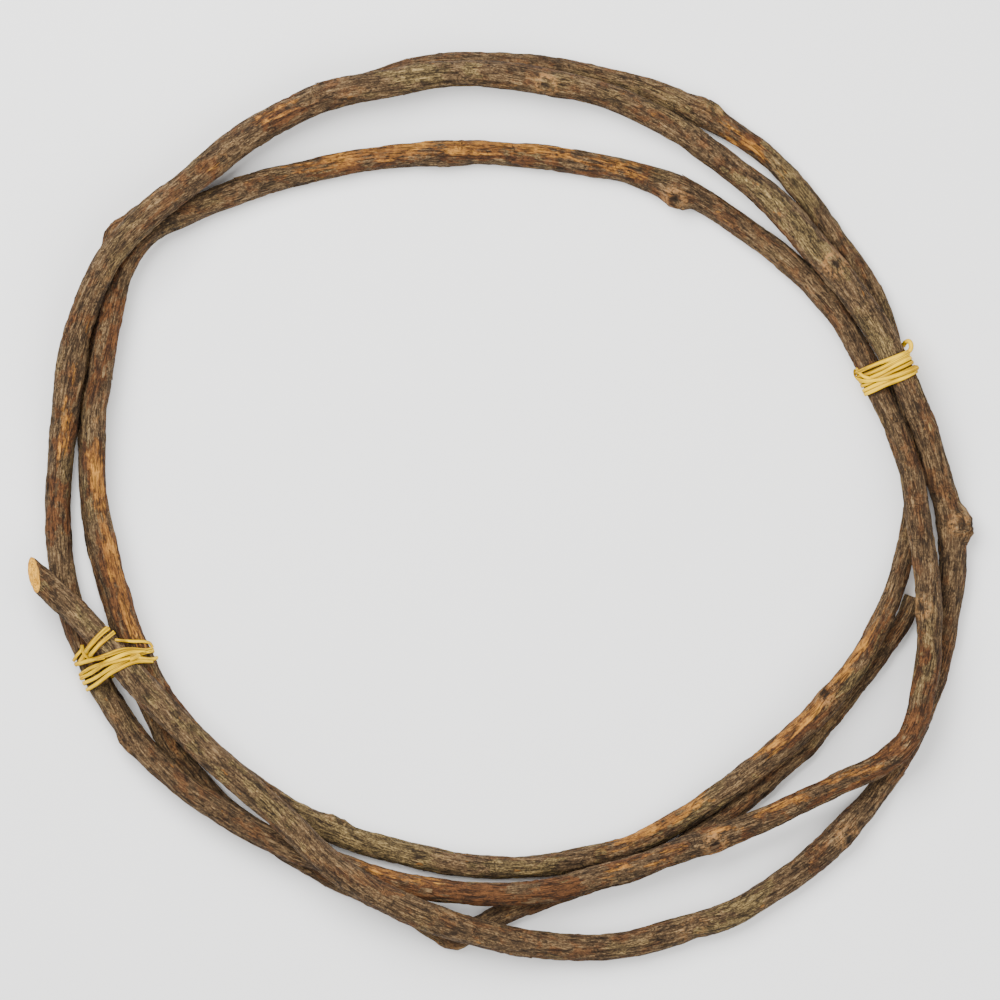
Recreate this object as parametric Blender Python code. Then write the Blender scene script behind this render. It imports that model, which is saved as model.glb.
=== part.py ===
"""A coil of vine: one long woody cane, wound three and a half times and tied twice with raffia.

The coil lies flat. Its plan is drawn on a grid of small square steps, counted from the
upper left, as it is seen from above. Each stop of the cane says where the middle of the
cane is on that grid, how high it lies over the table and how thick the cane is there.
"""

import math
from dataclasses import dataclass

import bmesh
import bpy
from mathutils import Vector

# Driving dimensions, in metres
COIL_WIDTH = 0.600
STEPS_ACROSS = 937.5
PLAN_STEP = COIL_WIDTH / STEPS_ACROSS
PLAN_MIDDLE = (501.0, 506.0)
MILLIMETRE = 0.001

RING_SPACING = 0.0142
CANE_BEVEL_RESOLUTION = 2
CANE_WELD = 0.0001
CURVE_SAMPLES = 24
FINE_SPACING = 0.002

RAFFIA_THICK = 0.0028
RAFFIA_GAP = 0.0006
RAFFIA_BEVEL_RESOLUTION = 1
RAFFIA_PITCH = 0.0036
RAFFIA_TURNS = 5
RAFFIA_STOPS_A_TURN = 18

BARK_COLOUR = (0.105, 0.062, 0.036, 1.0)
BARK_ROUGHNESS = 0.85
RAFFIA_COLOUR = (0.72, 0.53, 0.17, 1.0)
RAFFIA_ROUGHNESS = 0.6


@dataclass(frozen=True)
class Knot:
    """A lump where a side shoot grew: its place on the plan and which way it stands out."""

    across: float
    down: float
    height: float
    toward: tuple
    rise: float
    reach: float


@dataclass(frozen=True)
class Tie:
    """A raffia tie: the plan place of its middle and the way the bundle runs there."""

    name: str
    across: float
    down: float
    height: float
    bundle_run: tuple
    reach: float


# The cane, from its thick cut end to its thin hidden one. Each stop is
# across and down in plan steps, height in millimetres, thickness in plan steps.
FIRST_TURN = (
    (35, 575, 33.0, 27),
    (51, 589, 33.6, 28),
    (72, 608, 34.6, 28),
    (94, 631, 36.6, 28),
    (119, 658, 39.5, 29),
    (150, 692, 41.8, 30),
    (181, 725, 42.6, 29),
    (214, 757, 42.8, 29),
    (253, 790, 42.8, 29),
    (290, 823, 42.8, 29),
    (322, 854, 42.6, 29),
    (358, 881, 41.2, 29),
    (398, 903, 37.2, 30),
    (436, 919, 31.4, 31),
    (472, 931, 27.0, 30),
    (514, 941, 20.8, 29),
    (560, 947, 13.6, 28),
    (600, 948, 9.8, 28),
    (640, 943, 9.3, 29),
    (688, 930, 9.2, 28),
    (735, 913, 9.1, 28),
    (783, 884, 9.1, 28),
    (824, 852, 9.3, 29),
    (848, 828, 9.3, 29),
    (870, 803, 8.8, 26),
    (887, 778, 8.4, 25),
    (902, 755, 8.3, 25),
    (915, 730, 8.3, 25),
    (928, 698, 8.3, 25),
    (938, 668, 8.5, 26),
    (945, 636, 8.6, 26),
    (950, 603, 8.9, 27),
    (953, 570, 9.2, 28),
    (953, 540, 9.8, 30),
    (951, 518, 10.6, 31),
    (945, 495, 13.0, 28),
    (939, 474, 17.5, 27),
    (932, 452, 22.0, 26.5),
    (924, 428, 25.2, 27),
    (915, 407, 27.2, 27),
    (905, 384, 28.2, 28),
    (893, 358, 28.2, 28),
    (880, 334, 27.4, 28),
    (866, 312, 26.8, 29),
    (850, 290, 26.0, 30),
    (834, 269, 25.0, 32),
    (816, 249, 23.5, 31),
    (793, 222, 21.0, 31),
    (767, 196, 18.5, 30),
    (738, 172, 16.5, 29),
    (712, 152, 15.8, 28),
    (684, 133, 16.5, 27),
    (652, 115, 17.5, 27),
    (620, 101, 19.5, 27),
    (588, 90, 21.0, 27),
    (553, 83, 22.5, 29),
    (515, 77, 22.8, 27.5),
    (479, 74, 22.8, 27.5),
    (440, 75, 23.0, 28),
    (410, 79, 23.6, 28),
    (384, 84, 24.0, 29),
    (362, 88, 24.4, 30),
    (334, 94, 24.6, 31),
    (306, 105, 24.6, 31),
    (279, 118, 24.6, 31),
    (256, 131, 24.6, 31),
    (232, 147, 24.8, 31),
    (211, 165, 25.4, 31),
    (188, 185, 28.2, 29),
    (161, 206, 33.6, 28),
    (135, 230, 36.2, 28),
    (112, 257, 35.0, 27),
    (97, 283, 31.0, 28),
    (86, 308, 26.8, 29),
    (77, 336, 24.0, 29),
    (72, 363, 22.4, 30),
)
SECOND_TURN = (
    (68, 390, 21.0, 30),
    (65, 416, 18.4, 30),
    (61, 445, 14.0, 28),
    (58, 478, 10.5, 27),
    (57, 513, 8.9, 27),
    (59, 548, 8.9, 27),
    (63, 580, 9.4, 27),
    (70, 610, 10.6, 27),
    (78, 635, 12.4, 27),
    (87, 657, 12.2, 26),
    (99, 684, 12.0, 26),
    (114, 709, 12.2, 27),
    (133, 736, 13.6, 27),
    (152, 757, 17.6, 27),
    (170, 774, 20.8, 27),
    (190, 791, 22.6, 26),
    (213, 806, 24.2, 26),
    (240, 823, 24.6, 26),
    (268, 838, 24.6, 26),
    (300, 852, 24.4, 25),
    (325, 860, 24.2, 25),
    (352, 868, 24.0, 25),
    (380, 878, 23.6, 25),
    (413, 886, 23.0, 25),
    (447, 891, 22.8, 25),
    (483, 894, 22.8, 24),
    (520, 893, 23.0, 24),
    (556, 888, 23.4, 25),
    (600, 876, 23.6, 25),
    (643, 864, 23.6, 24),
    (678, 851, 23.8, 26),
    (712, 839, 23.8, 27),
    (743, 827, 23.6, 25),
    (775, 814, 23.8, 24),
    (807, 799, 24.6, 24),
    (845, 781, 26.2, 25),
    (872, 769, 27.0, 25),
    (893, 755, 27.4, 27),
    (908, 738, 27.4, 27),
    (917, 717, 27.2, 27),
    (922, 692, 27.0, 27),
    (927, 668, 26.8, 27),
    (929, 640, 26.6, 27),
    (928, 604, 26.4, 29),
    (925, 571, 26.0, 27),
    (921, 538, 25.7, 26),
    (918, 517, 25.5, 26),
    (915, 495, 25.2, 25),
    (911, 473, 24.6, 24),
    (904, 452, 23.4, 24),
    (896, 430, 21.8, 24),
    (886, 408, 20.4, 23.5),
    (876, 387, 19.2, 23.5),
    (865, 360, 17.4, 24),
    (842, 319, 14.4, 24),
    (822, 294, 12.2, 25),
    (798, 270, 10.2, 25),
    (763, 241, 9.0, 25),
    (728, 215, 8.8, 25.5),
    (701, 199, 9.2, 27),
    (679, 190, 9.9, 31),
    (655, 181, 9.0, 28),
    (628, 171, 8.6, 26),
    (594, 164, 8.6, 26),
    (539, 156, 8.6, 26),
    (483, 152, 8.6, 26),
    (440, 153, 8.6, 26),
    (400, 155, 8.4, 25),
    (360, 160, 8.2, 24),
    (321, 168, 8.4, 25),
    (286, 176, 8.8, 26),
    (261, 183, 9.2, 27),
    (230, 194, 10.0, 28),
    (205, 204, 11.6, 27),
    (180, 215, 15.9, 27),
    (157, 226, 19.0, 26),
    (136, 246, 20.4, 25),
)
THIRD_TURN = (
    (122, 272, 20.0, 24),
    (115, 299, 19.4, 24),
    (110, 325, 19.4, 24),
    (104, 352, 20.2, 24),
    (99, 381, 21.4, 25),
    (95, 409, 22.6, 25),
    (94, 442, 23.2, 25),
    (94, 480, 23.4, 25),
    (97, 510, 23.6, 25),
    (103, 538, 23.8, 26),
    (110, 567, 24.0, 27),
    (119, 595, 24.6, 26),
    (128, 625, 25.6, 25),
    (139, 651, 25.6, 25),
    (154, 683, 23.6, 25),
    (173, 712, 19.0, 25),
    (198, 742, 13.6, 25),
    (230, 770, 9.8, 25),
    (260, 793, 8.8, 26),
    (290, 812, 8.8, 26),
    (325, 829, 9.0, 27),
    (359, 842, 8.8, 26),
    (391, 851, 8.8, 26),
    (430, 860, 8.6, 26),
    (470, 867, 8.4, 25),
    (515, 868, 8.2, 24),
    (550, 865, 8.0, 24),
    (583, 859, 8.2, 24),
    (628, 848, 8.2, 24),
    (674, 825, 10.4, 24),
    (704, 806, 13.4, 25),
    (733, 786, 16.8, 25),
    (759, 766, 19.0, 25),
    (779, 750, 20.8, 26),
    (804, 727, 21.8, 26),
    (822, 708, 22.4, 27),
    (841, 685, 22.4, 25),
    (856, 665, 21.8, 24),
    (875, 634, 19.8, 23),
    (889, 606, 16.6, 22),
    (896, 588, 14.4, 21),
    (901, 572, 12.4, 21),
    (907, 549, 9.4, 21),
    (912, 524, 7.8, 21),
    (917, 498, 7.2, 21),
    (919, 472, 7.2, 21),
    (917, 446, 7.8, 21),
    (910, 420, 10.6, 21),
    (902, 396, 11.4, 22),
    (896, 372, 11.4, 22),
    (892, 350, 10.8, 22),
    (887, 329, 8.8, 22),
    (877, 302, 7.4, 23),
    (862, 275, 7.4, 23),
    (843, 246, 7.4, 22),
    (825, 221, 7.3, 22),
    (804, 194, 7.3, 22),
    (785, 171, 7.3, 22),
    (760, 149, 7.3, 22),
    (735, 132, 7.5, 23),
    (708, 115, 8.4, 26),
    (682, 102, 8.2, 25),
    (655, 90, 7.6, 23),
    (630, 82, 7.3, 22),
    (600, 75, 7.2, 22),
    (565, 68, 7.2, 22),
    (523, 63, 7.2, 22),
    (480, 61, 7.2, 22),
    (440, 63, 7.2, 22),
    (408, 68, 7.2, 22),
    (384, 75, 7.2, 22),
    (358, 84, 7.2, 22),
    (330, 94, 7.2, 22),
    (300, 107, 7.2, 22),
    (268, 123, 7.2, 22),
    (238, 140, 7.2, 22),
    (212, 158, 7.2, 22),
    (185, 180, 7.2, 22),
    (160, 202, 7.3, 22),
    (136, 219, 7.8, 24),
    (118, 238, 8.3, 25),
    (105, 263, 7.6, 23),
    (97, 292, 7.2, 22),
    (92, 325, 7.2, 22),
    (88, 358, 7.2, 22),
)
LAST_HALF_TURN = (
    (86, 390, 7.2, 22),
    (86, 421, 7.2, 22),
    (87, 455, 7.2, 22),
    (88, 485, 7.2, 22),
    (91, 517, 7.2, 22),
    (97, 551, 7.2, 22),
    (104, 577, 7.8, 22),
    (111, 603, 8.8, 22),
    (119, 630, 10.2, 22),
    (128, 655, 10.8, 22),
    (142, 691, 9.6, 22),
    (157, 722, 7.8, 22),
    (169, 744, 7.8, 24),
    (182, 762, 7.4, 23),
    (196, 778, 7.2, 22),
    (221, 805, 7.2, 22),
    (253, 829, 7.2, 22),
    (285, 851, 7.2, 22),
    (321, 873, 7.2, 22),
    (358, 891, 7.2, 22),
    (389, 905, 7.2, 22),
    (415, 917, 7.4, 23),
    (437, 930, 8.2, 25),
    (457, 936, 8.5, 26),
    (480, 927, 7.8, 24),
    (505, 914, 7.2, 22),
    (539, 902, 7.2, 22),
    (572, 890, 7.2, 22),
    (604, 880, 7.2, 22),
    (636, 871, 7.2, 22),
    (668, 857, 7.2, 22),
    (698, 837, 7.2, 22),
    (729, 815, 7.2, 22),
    (759, 790, 7.2, 22),
    (788, 763, 7.2, 22),
    (806, 748, 7.2, 22),
    (821, 730, 7.2, 22),
    (837, 711, 7.2, 22),
    (855, 688, 7.2, 22),
    (874, 665, 7.2, 21),
    (894, 637, 7.0, 20),
    (906, 618, 6.8, 19),
    (914, 597, 6.4, 18),
)

KNOTS = (
    Knot(214, 168, 25.0, (0.4, 0.3, 0.85), 1.6, 9.0),
    Knot(545, 84, 22.0, (0.1, -0.5, 0.85), 2.4, 11.0),
    Knot(834, 266, 25.0, (0.1, 0.1, 1.0), 3.4, 11.0),
    Knot(960, 523, 10.6, (0.95, -0.1, 0.3), 5.6, 14.0),
    Knot(848, 836, 9.3, (0.3, -0.5, 0.8), 2.4, 11.0),
    Knot(926, 607, 26.0, (-0.5, 0.0, 0.85), 1.4, 9.0),
    Knot(676, 196, 9.0, (0.0, -0.9, 0.4), 3.0, 12.0),
    Knot(825, 694, 21.8, (-0.4, 0.4, 0.8), 2.2, 10.0),
    Knot(714, 843, 23.6, (0.1, -0.8, 0.6), 1.6, 9.0),
    Knot(706, 112, 8.4, (0.5, 0.8, 0.4), 2.0, 12.0),
    Knot(114, 231, 8.2, (-0.75, 0.65, 0.2), 2.8, 11.0),
    Knot(126, 744, 13.4, (-0.75, -0.65, 0.2), 1.8, 11.0),
    Knot(336, 822, 9.0, (0.3, 0.95, 0.2), 2.4, 12.0),
    Knot(452, 943, 8.0, (0.0, -1.0, 0.1), 1.8, 12.0),
    Knot(178, 750, 7.4, (0.2, 0.2, 0.9), 1.6, 9.0),
    Knot(690, 940, 9.2, (0.2, 0.6, 0.7), 1.2, 12.0),
)

# The thick end is sawn off at a slant, facing left and a little up
CUT_FACING = (-0.894, 0.023, 0.447)

TIES = (
    Tie("raffia_tie_right", 889, 371, 19.0, (-0.42, 0.905, 0.0), 0.045),
    Tie("raffia_tie_left", 116, 660, 25.0, (0.36, -0.93, 0.0), 0.058),
)


def place(across, down, height):
    """Turn a stop's plan steps and its height in millimetres into a point in metres."""
    x = (across - PLAN_MIDDLE[0]) * PLAN_STEP
    y = (PLAN_MIDDLE[1] - down) * PLAN_STEP
    return Vector((x, y, height * MILLIMETRE))


def smooth_pair(before, start, end, after, share):
    """Read the curve that runs smoothly through four stops, between the middle two."""
    a = 2.0 * start
    b = end - before
    c = 2.0 * before - 5.0 * start + 4.0 * end - after
    d = 3.0 * start - before - 3.0 * end + after
    return 0.5 * (a + b * share + c * share**2 + d * share**3)


def cane_route():
    """Give the cane's middle line and its radius, as a fine list of (point, radius)."""
    stops = FIRST_TURN + SECOND_TURN + THIRD_TURN + LAST_HALF_TURN
    points = [place(across, down, height).to_4d() for across, down, height, _ in stops]
    for point, stop in zip(points, stops):
        point.w = stop[3] * PLAN_STEP / 2.0
    padded = [2.0 * points[0] - points[1]] + points + [2.0 * points[-1] - points[-2]]
    route = []
    for i in range(len(points) - 1):
        for sample in range(CURVE_SAMPLES):
            reading = smooth_pair(*padded[i : i + 4], sample / CURVE_SAMPLES)
            route.append((reading.to_3d(), reading.w))
    route.append((points[-1].to_3d(), points[-1].w))
    return route


def evenly(route, spacing):
    """Read a route again at even distances, its first and last points kept."""
    lengths = [0.0]
    for (here, _), (there, _) in zip(route, route[1:]):
        lengths.append(lengths[-1] + (there - here).length)
    count = max(2, round(lengths[-1] / spacing))
    even = []
    i = 0
    for step in range(count + 1):
        wanted = lengths[-1] * step / count
        while i < len(route) - 2 and lengths[i + 1] < wanted:
            i += 1
        share = (wanted - lengths[i]) / (lengths[i + 1] - lengths[i])
        point = route[i][0].lerp(route[i + 1][0], share)
        radius = route[i][1] + (route[i + 1][1] - route[i][1]) * share
        even.append((point, radius))
    return even


def tube_mesh(name, stops, bevel_resolution):
    """Make one closed tube along stops, each a (point, radius), and return its object."""
    curve = bpy.data.curves.new(name + "_path", "CURVE")
    curve.dimensions = "3D"
    curve.bevel_depth = 1.0
    curve.bevel_resolution = bevel_resolution
    curve.use_fill_caps = True
    spline = curve.splines.new("POLY")
    spline.points.add(len(stops) - 1)
    for spline_point, (point, radius) in zip(spline.points, stops):
        spline_point.co = (*point, 1.0)
        spline_point.radius = radius
    path = bpy.data.objects.new(name + "_path", curve)
    bpy.context.scene.collection.objects.link(path)
    graph = bpy.context.evaluated_depsgraph_get()
    mesh = bpy.data.meshes.new_from_object(path.evaluated_get(graph))
    bpy.data.objects.remove(path)
    tube = bmesh.new()
    tube.from_mesh(mesh)
    bmesh.ops.remove_doubles(tube, verts=tube.verts, dist=CANE_WELD)
    bmesh.ops.recalc_face_normals(tube, faces=tube.faces)
    tube.to_mesh(mesh)
    tube.free()
    mesh.name = name
    return bpy.data.objects.new(name, mesh)


def raise_knots(mesh):
    """Push the bark out in a lump at each knot, highest in its middle."""
    for knot in KNOTS:
        middle = place(knot.across, knot.down, knot.height)
        toward = Vector(knot.toward).normalized()
        reach = knot.reach * MILLIMETRE
        for vertex in mesh.vertices:
            away = vertex.co - middle
            side = away.dot(toward)
            if side <= 0.0 or (away - side * toward).length > reach or side > 2.0 * reach:
                continue
            fall = 1.0 - ((away - side * toward).length / reach) ** 2
            vertex.co += toward * knot.rise * MILLIMETRE * fall


def slant_the_cut(mesh, stops):
    """Slide the first ring of the cane along it, on to the slanting plane of the cut."""
    middle, radius = stops[0]
    run = (middle - stops[1][0]).normalized()
    facing = Vector(CUT_FACING).normalized()
    for vertex in mesh.vertices:
        away = vertex.co - middle
        if away.length < 1.1 * radius and abs(away.dot(run)) < 0.1 * radius:
            vertex.co -= run * (away.dot(facing) / run.dot(facing))


def vine():
    """Build the cane as one solid."""
    stops = evenly(cane_route(), RING_SPACING)
    piece = tube_mesh("vine", stops, CANE_BEVEL_RESOLUTION)
    slant_the_cut(piece.data, stops)
    raise_knots(piece.data)
    piece.data.shade_smooth()
    return piece


def bundle_hull_point(route, middle, along, outward):
    """Find where a taut strand touches the bundle in the plane across it, on one side.

    Each fine point of the cane counts as a ball, cut by the plane through middle.
    """
    best = None
    for point, radius in route:
        off = (point - middle).dot(along)
        wide = radius + RAFFIA_THICK / 2.0 + RAFFIA_GAP
        if abs(off) >= wide:
            continue
        section = math.sqrt(wide**2 - off**2)
        centre = point - along * off
        reach = (centre - middle).dot(outward) + section
        if best is None or reach > best[0]:
            best = (reach, centre + outward * section)
    return best[1]


def raffia_tie(tie, route):
    """Wind one strand of raffia around the strands of cane that a tie holds."""
    middle = place(tie.across, tie.down, tie.height)
    along = Vector(tie.bundle_run).normalized()
    sideways = along.cross(Vector((0.0, 0.0, 1.0)))
    near = [stop for stop in route if (stop[0] - middle).length < tie.reach]
    count = RAFFIA_TURNS * RAFFIA_STOPS_A_TURN
    stops = []
    for i in range(count + 1):
        turn = i / RAFFIA_STOPS_A_TURN
        angle = 2.0 * math.pi * turn
        outward = sideways * math.cos(angle) + Vector((0.0, 0.0, math.sin(angle)))
        centre = middle + along * RAFFIA_PITCH * (turn - RAFFIA_TURNS / 2.0)
        stops.append((bundle_hull_point(near, centre, along, outward), RAFFIA_THICK / 2.0))
    piece = tube_mesh(tie.name, stops, RAFFIA_BEVEL_RESOLUTION)
    piece.data.shade_smooth()
    return piece


def finish(name, colour, roughness):
    """Make a plain material."""
    material = bpy.data.materials.new(name)
    material.use_nodes = True
    shader = material.node_tree.nodes["Principled BSDF"]
    shader.inputs["Base Color"].default_value = colour
    shader.inputs["Roughness"].default_value = roughness
    return material


def main():
    """Clear the scene and build the coil."""
    for old in list(bpy.data.objects):
        bpy.data.objects.remove(old)
    coil = bpy.data.collections.new("vine_coil")
    bpy.context.scene.collection.children.link(coil)
    bark = finish("bark", BARK_COLOUR, BARK_ROUGHNESS)
    raffia = finish("raffia", RAFFIA_COLOUR, RAFFIA_ROUGHNESS)

    cane = vine()
    cane.data.materials.append(bark)
    coil.objects.link(cane)

    fine_route = evenly(cane_route(), FINE_SPACING)
    for tie in TIES:
        piece = raffia_tie(tie, fine_route)
        piece.data.materials.append(raffia)
        coil.objects.link(piece)


main()
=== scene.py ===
"""The vine coil as it looks: one long cane of fissured bark, wound up and tied with raffia.

The coil lies flat. Its plan is drawn on a grid of small square steps, counted from the
upper left, as it is seen from above. The cane's stops repeat those of the solid model.
"""

import logging
import math
from dataclasses import dataclass, field
from enum import Enum

import bmesh
import bpy
import numpy as np
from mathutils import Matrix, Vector
from mathutils.kdtree import KDTree


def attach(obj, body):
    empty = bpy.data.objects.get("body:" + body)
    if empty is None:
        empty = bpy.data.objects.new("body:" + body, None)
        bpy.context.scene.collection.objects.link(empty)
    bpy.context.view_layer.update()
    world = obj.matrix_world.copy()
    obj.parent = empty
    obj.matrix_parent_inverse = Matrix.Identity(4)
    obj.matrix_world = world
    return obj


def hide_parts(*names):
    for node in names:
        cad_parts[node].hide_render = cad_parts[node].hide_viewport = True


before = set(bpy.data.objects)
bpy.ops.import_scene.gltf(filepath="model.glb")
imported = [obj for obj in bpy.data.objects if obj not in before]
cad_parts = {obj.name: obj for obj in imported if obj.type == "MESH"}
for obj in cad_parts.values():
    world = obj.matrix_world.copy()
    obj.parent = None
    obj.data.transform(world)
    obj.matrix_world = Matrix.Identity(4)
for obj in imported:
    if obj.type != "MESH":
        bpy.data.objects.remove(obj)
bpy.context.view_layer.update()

LOG = logging.getLogger("vine_coil")
BODY = "root"
MILLIMETRE = 0.001
CURVE_SAMPLES = 24
RUN_REACH = 0.002
UP = np.array((0.0, 0.0, 1.0))

Stop = tuple[float, float, float, float]
Colour = tuple[float, float, float, float]
Socket = bpy.types.NodeSocket

# The cane, from its thick cut end to its thin hidden one. Each stop is
# across and down in plan steps, height in millimetres, thickness in plan steps.
FIRST_TURN = (
    (35, 575, 33.0, 27), (51, 589, 33.6, 28), (72, 608, 34.6, 28), (94, 631, 36.6, 28),
    (119, 658, 39.5, 29), (150, 692, 41.8, 30), (181, 725, 42.6, 29), (214, 757, 42.8, 29),
    (253, 790, 42.8, 29), (290, 823, 42.8, 29), (322, 854, 42.6, 29), (358, 881, 41.2, 29),
    (398, 903, 37.2, 30), (436, 919, 31.4, 31), (472, 931, 27.0, 30), (514, 941, 20.8, 29),
    (560, 947, 13.6, 28), (600, 948, 9.8, 28), (640, 943, 9.3, 29), (688, 930, 9.2, 28),
    (735, 913, 9.1, 28), (783, 884, 9.1, 28), (824, 852, 9.3, 29), (848, 828, 9.3, 29),
    (870, 803, 8.8, 26), (887, 778, 8.4, 25), (902, 755, 8.3, 25), (915, 730, 8.3, 25),
    (928, 698, 8.3, 25), (938, 668, 8.5, 26), (945, 636, 8.6, 26), (950, 603, 8.9, 27),
    (953, 570, 9.2, 28), (953, 540, 9.8, 30), (951, 518, 10.6, 31), (945, 495, 13.0, 28),
    (939, 474, 17.5, 27), (932, 452, 22.0, 26.5), (924, 428, 25.2, 27), (915, 407, 27.2, 27),
    (905, 384, 28.2, 28), (893, 358, 28.2, 28), (880, 334, 27.4, 28), (866, 312, 26.8, 29),
    (850, 290, 26.0, 30), (834, 269, 25.0, 32), (816, 249, 23.5, 31), (793, 222, 21.0, 31),
    (767, 196, 18.5, 30), (738, 172, 16.5, 29), (712, 152, 15.8, 28), (684, 133, 16.5, 27),
    (652, 115, 17.5, 27), (620, 101, 19.5, 27), (588, 90, 21.0, 27), (553, 83, 22.5, 29),
    (515, 77, 22.8, 27.5), (479, 74, 22.8, 27.5), (440, 75, 23.0, 28), (410, 79, 23.6, 28),
    (384, 84, 24.0, 29), (362, 88, 24.4, 30), (334, 94, 24.6, 31), (306, 105, 24.6, 31),
    (279, 118, 24.6, 31), (256, 131, 24.6, 31), (232, 147, 24.8, 31), (211, 165, 25.4, 31),
    (188, 185, 28.2, 29), (161, 206, 33.6, 28), (135, 230, 36.2, 28), (112, 257, 35.0, 27),
    (97, 283, 31.0, 28), (86, 308, 26.8, 29), (77, 336, 24.0, 29), (72, 363, 22.4, 30),
)
SECOND_TURN = (
    (68, 390, 21.0, 30), (65, 416, 18.4, 30), (61, 445, 14.0, 28), (58, 478, 10.5, 27),
    (57, 513, 8.9, 27), (59, 548, 8.9, 27), (63, 580, 9.4, 27), (70, 610, 10.6, 27),
    (78, 635, 12.4, 27), (87, 657, 12.2, 26), (99, 684, 12.0, 26), (114, 709, 12.2, 27),
    (133, 736, 13.6, 27), (152, 757, 17.6, 27), (170, 774, 20.8, 27), (190, 791, 22.6, 26),
    (213, 806, 24.2, 26), (240, 823, 24.6, 26), (268, 838, 24.6, 26), (300, 852, 24.4, 25),
    (325, 860, 24.2, 25), (352, 868, 24.0, 25), (380, 878, 23.6, 25), (413, 886, 23.0, 25),
    (447, 891, 22.8, 25), (483, 894, 22.8, 24), (520, 893, 23.0, 24), (556, 888, 23.4, 25),
    (600, 876, 23.6, 25), (643, 864, 23.6, 24), (678, 851, 23.8, 26), (712, 839, 23.8, 27),
    (743, 827, 23.6, 25), (775, 814, 23.8, 24), (807, 799, 24.6, 24), (845, 781, 26.2, 25),
    (872, 769, 27.0, 25), (893, 755, 27.4, 27), (908, 738, 27.4, 27), (917, 717, 27.2, 27),
    (922, 692, 27.0, 27), (927, 668, 26.8, 27), (929, 640, 26.6, 27), (928, 604, 26.4, 29),
    (925, 571, 26.0, 27), (921, 538, 25.7, 26), (918, 517, 25.5, 26), (915, 495, 25.2, 25),
    (911, 473, 24.6, 24), (904, 452, 23.4, 24), (896, 430, 21.8, 24), (886, 408, 20.4, 23.5),
    (876, 387, 19.2, 23.5), (865, 360, 17.4, 24), (842, 319, 14.4, 24), (822, 294, 12.2, 25),
    (798, 270, 10.2, 25), (763, 241, 9.0, 25), (728, 215, 8.8, 25.5), (701, 199, 9.2, 27),
    (679, 190, 9.9, 31), (655, 181, 9.0, 28), (628, 171, 8.6, 26), (594, 164, 8.6, 26),
    (539, 156, 8.6, 26), (483, 152, 8.6, 26), (440, 153, 8.6, 26), (400, 155, 8.4, 25),
    (360, 160, 8.2, 24), (321, 168, 8.4, 25), (286, 176, 8.8, 26), (261, 183, 9.2, 27),
    (230, 194, 10.0, 28), (205, 204, 11.6, 27), (180, 215, 15.9, 27), (157, 226, 19.0, 26),
    (136, 246, 20.4, 25),
)
THIRD_TURN = (
    (122, 272, 20.0, 24), (115, 299, 19.4, 24), (110, 325, 19.4, 24), (104, 352, 20.2, 24),
    (99, 381, 21.4, 25), (95, 409, 22.6, 25), (94, 442, 23.2, 25), (94, 480, 23.4, 25),
    (97, 510, 23.6, 25), (103, 538, 23.8, 26), (110, 567, 24.0, 27), (119, 595, 24.6, 26),
    (128, 625, 25.6, 25), (139, 651, 25.6, 25), (154, 683, 23.6, 25), (173, 712, 19.0, 25),
    (198, 742, 13.6, 25), (230, 770, 9.8, 25), (260, 793, 8.8, 26), (290, 812, 8.8, 26),
    (325, 829, 9.0, 27), (359, 842, 8.8, 26), (391, 851, 8.8, 26), (430, 860, 8.6, 26),
    (470, 867, 8.4, 25), (515, 868, 8.2, 24), (550, 865, 8.0, 24), (583, 859, 8.2, 24),
    (628, 848, 8.2, 24), (674, 825, 10.4, 24), (704, 806, 13.4, 25), (733, 786, 16.8, 25),
    (759, 766, 19.0, 25), (779, 750, 20.8, 26), (804, 727, 21.8, 26), (822, 708, 22.4, 27),
    (841, 685, 22.4, 25), (856, 665, 21.8, 24), (875, 634, 19.8, 23), (889, 606, 16.6, 22),
    (896, 588, 14.4, 21), (901, 572, 12.4, 21), (907, 549, 9.4, 21), (912, 524, 7.8, 21),
    (917, 498, 7.2, 21), (919, 472, 7.2, 21), (917, 446, 7.8, 21), (910, 420, 10.6, 21),
    (902, 396, 11.4, 22), (896, 372, 11.4, 22), (892, 350, 10.8, 22), (887, 329, 8.8, 22),
    (877, 302, 7.4, 23), (862, 275, 7.4, 23), (843, 246, 7.4, 22), (825, 221, 7.3, 22),
    (804, 194, 7.3, 22), (785, 171, 7.3, 22), (760, 149, 7.3, 22), (735, 132, 7.5, 23),
    (708, 115, 8.4, 26), (682, 102, 8.2, 25), (655, 90, 7.6, 23), (630, 82, 7.3, 22),
    (600, 75, 7.2, 22), (565, 68, 7.2, 22), (523, 63, 7.2, 22), (480, 61, 7.2, 22),
    (440, 63, 7.2, 22), (408, 68, 7.2, 22), (384, 75, 7.2, 22), (358, 84, 7.2, 22),
    (330, 94, 7.2, 22), (300, 107, 7.2, 22), (268, 123, 7.2, 22), (238, 140, 7.2, 22),
    (212, 158, 7.2, 22), (185, 180, 7.2, 22), (160, 202, 7.3, 22), (136, 219, 7.8, 24),
    (118, 238, 8.3, 25), (105, 263, 7.6, 23), (97, 292, 7.2, 22), (92, 325, 7.2, 22),
    (88, 358, 7.2, 22),
)
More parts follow.
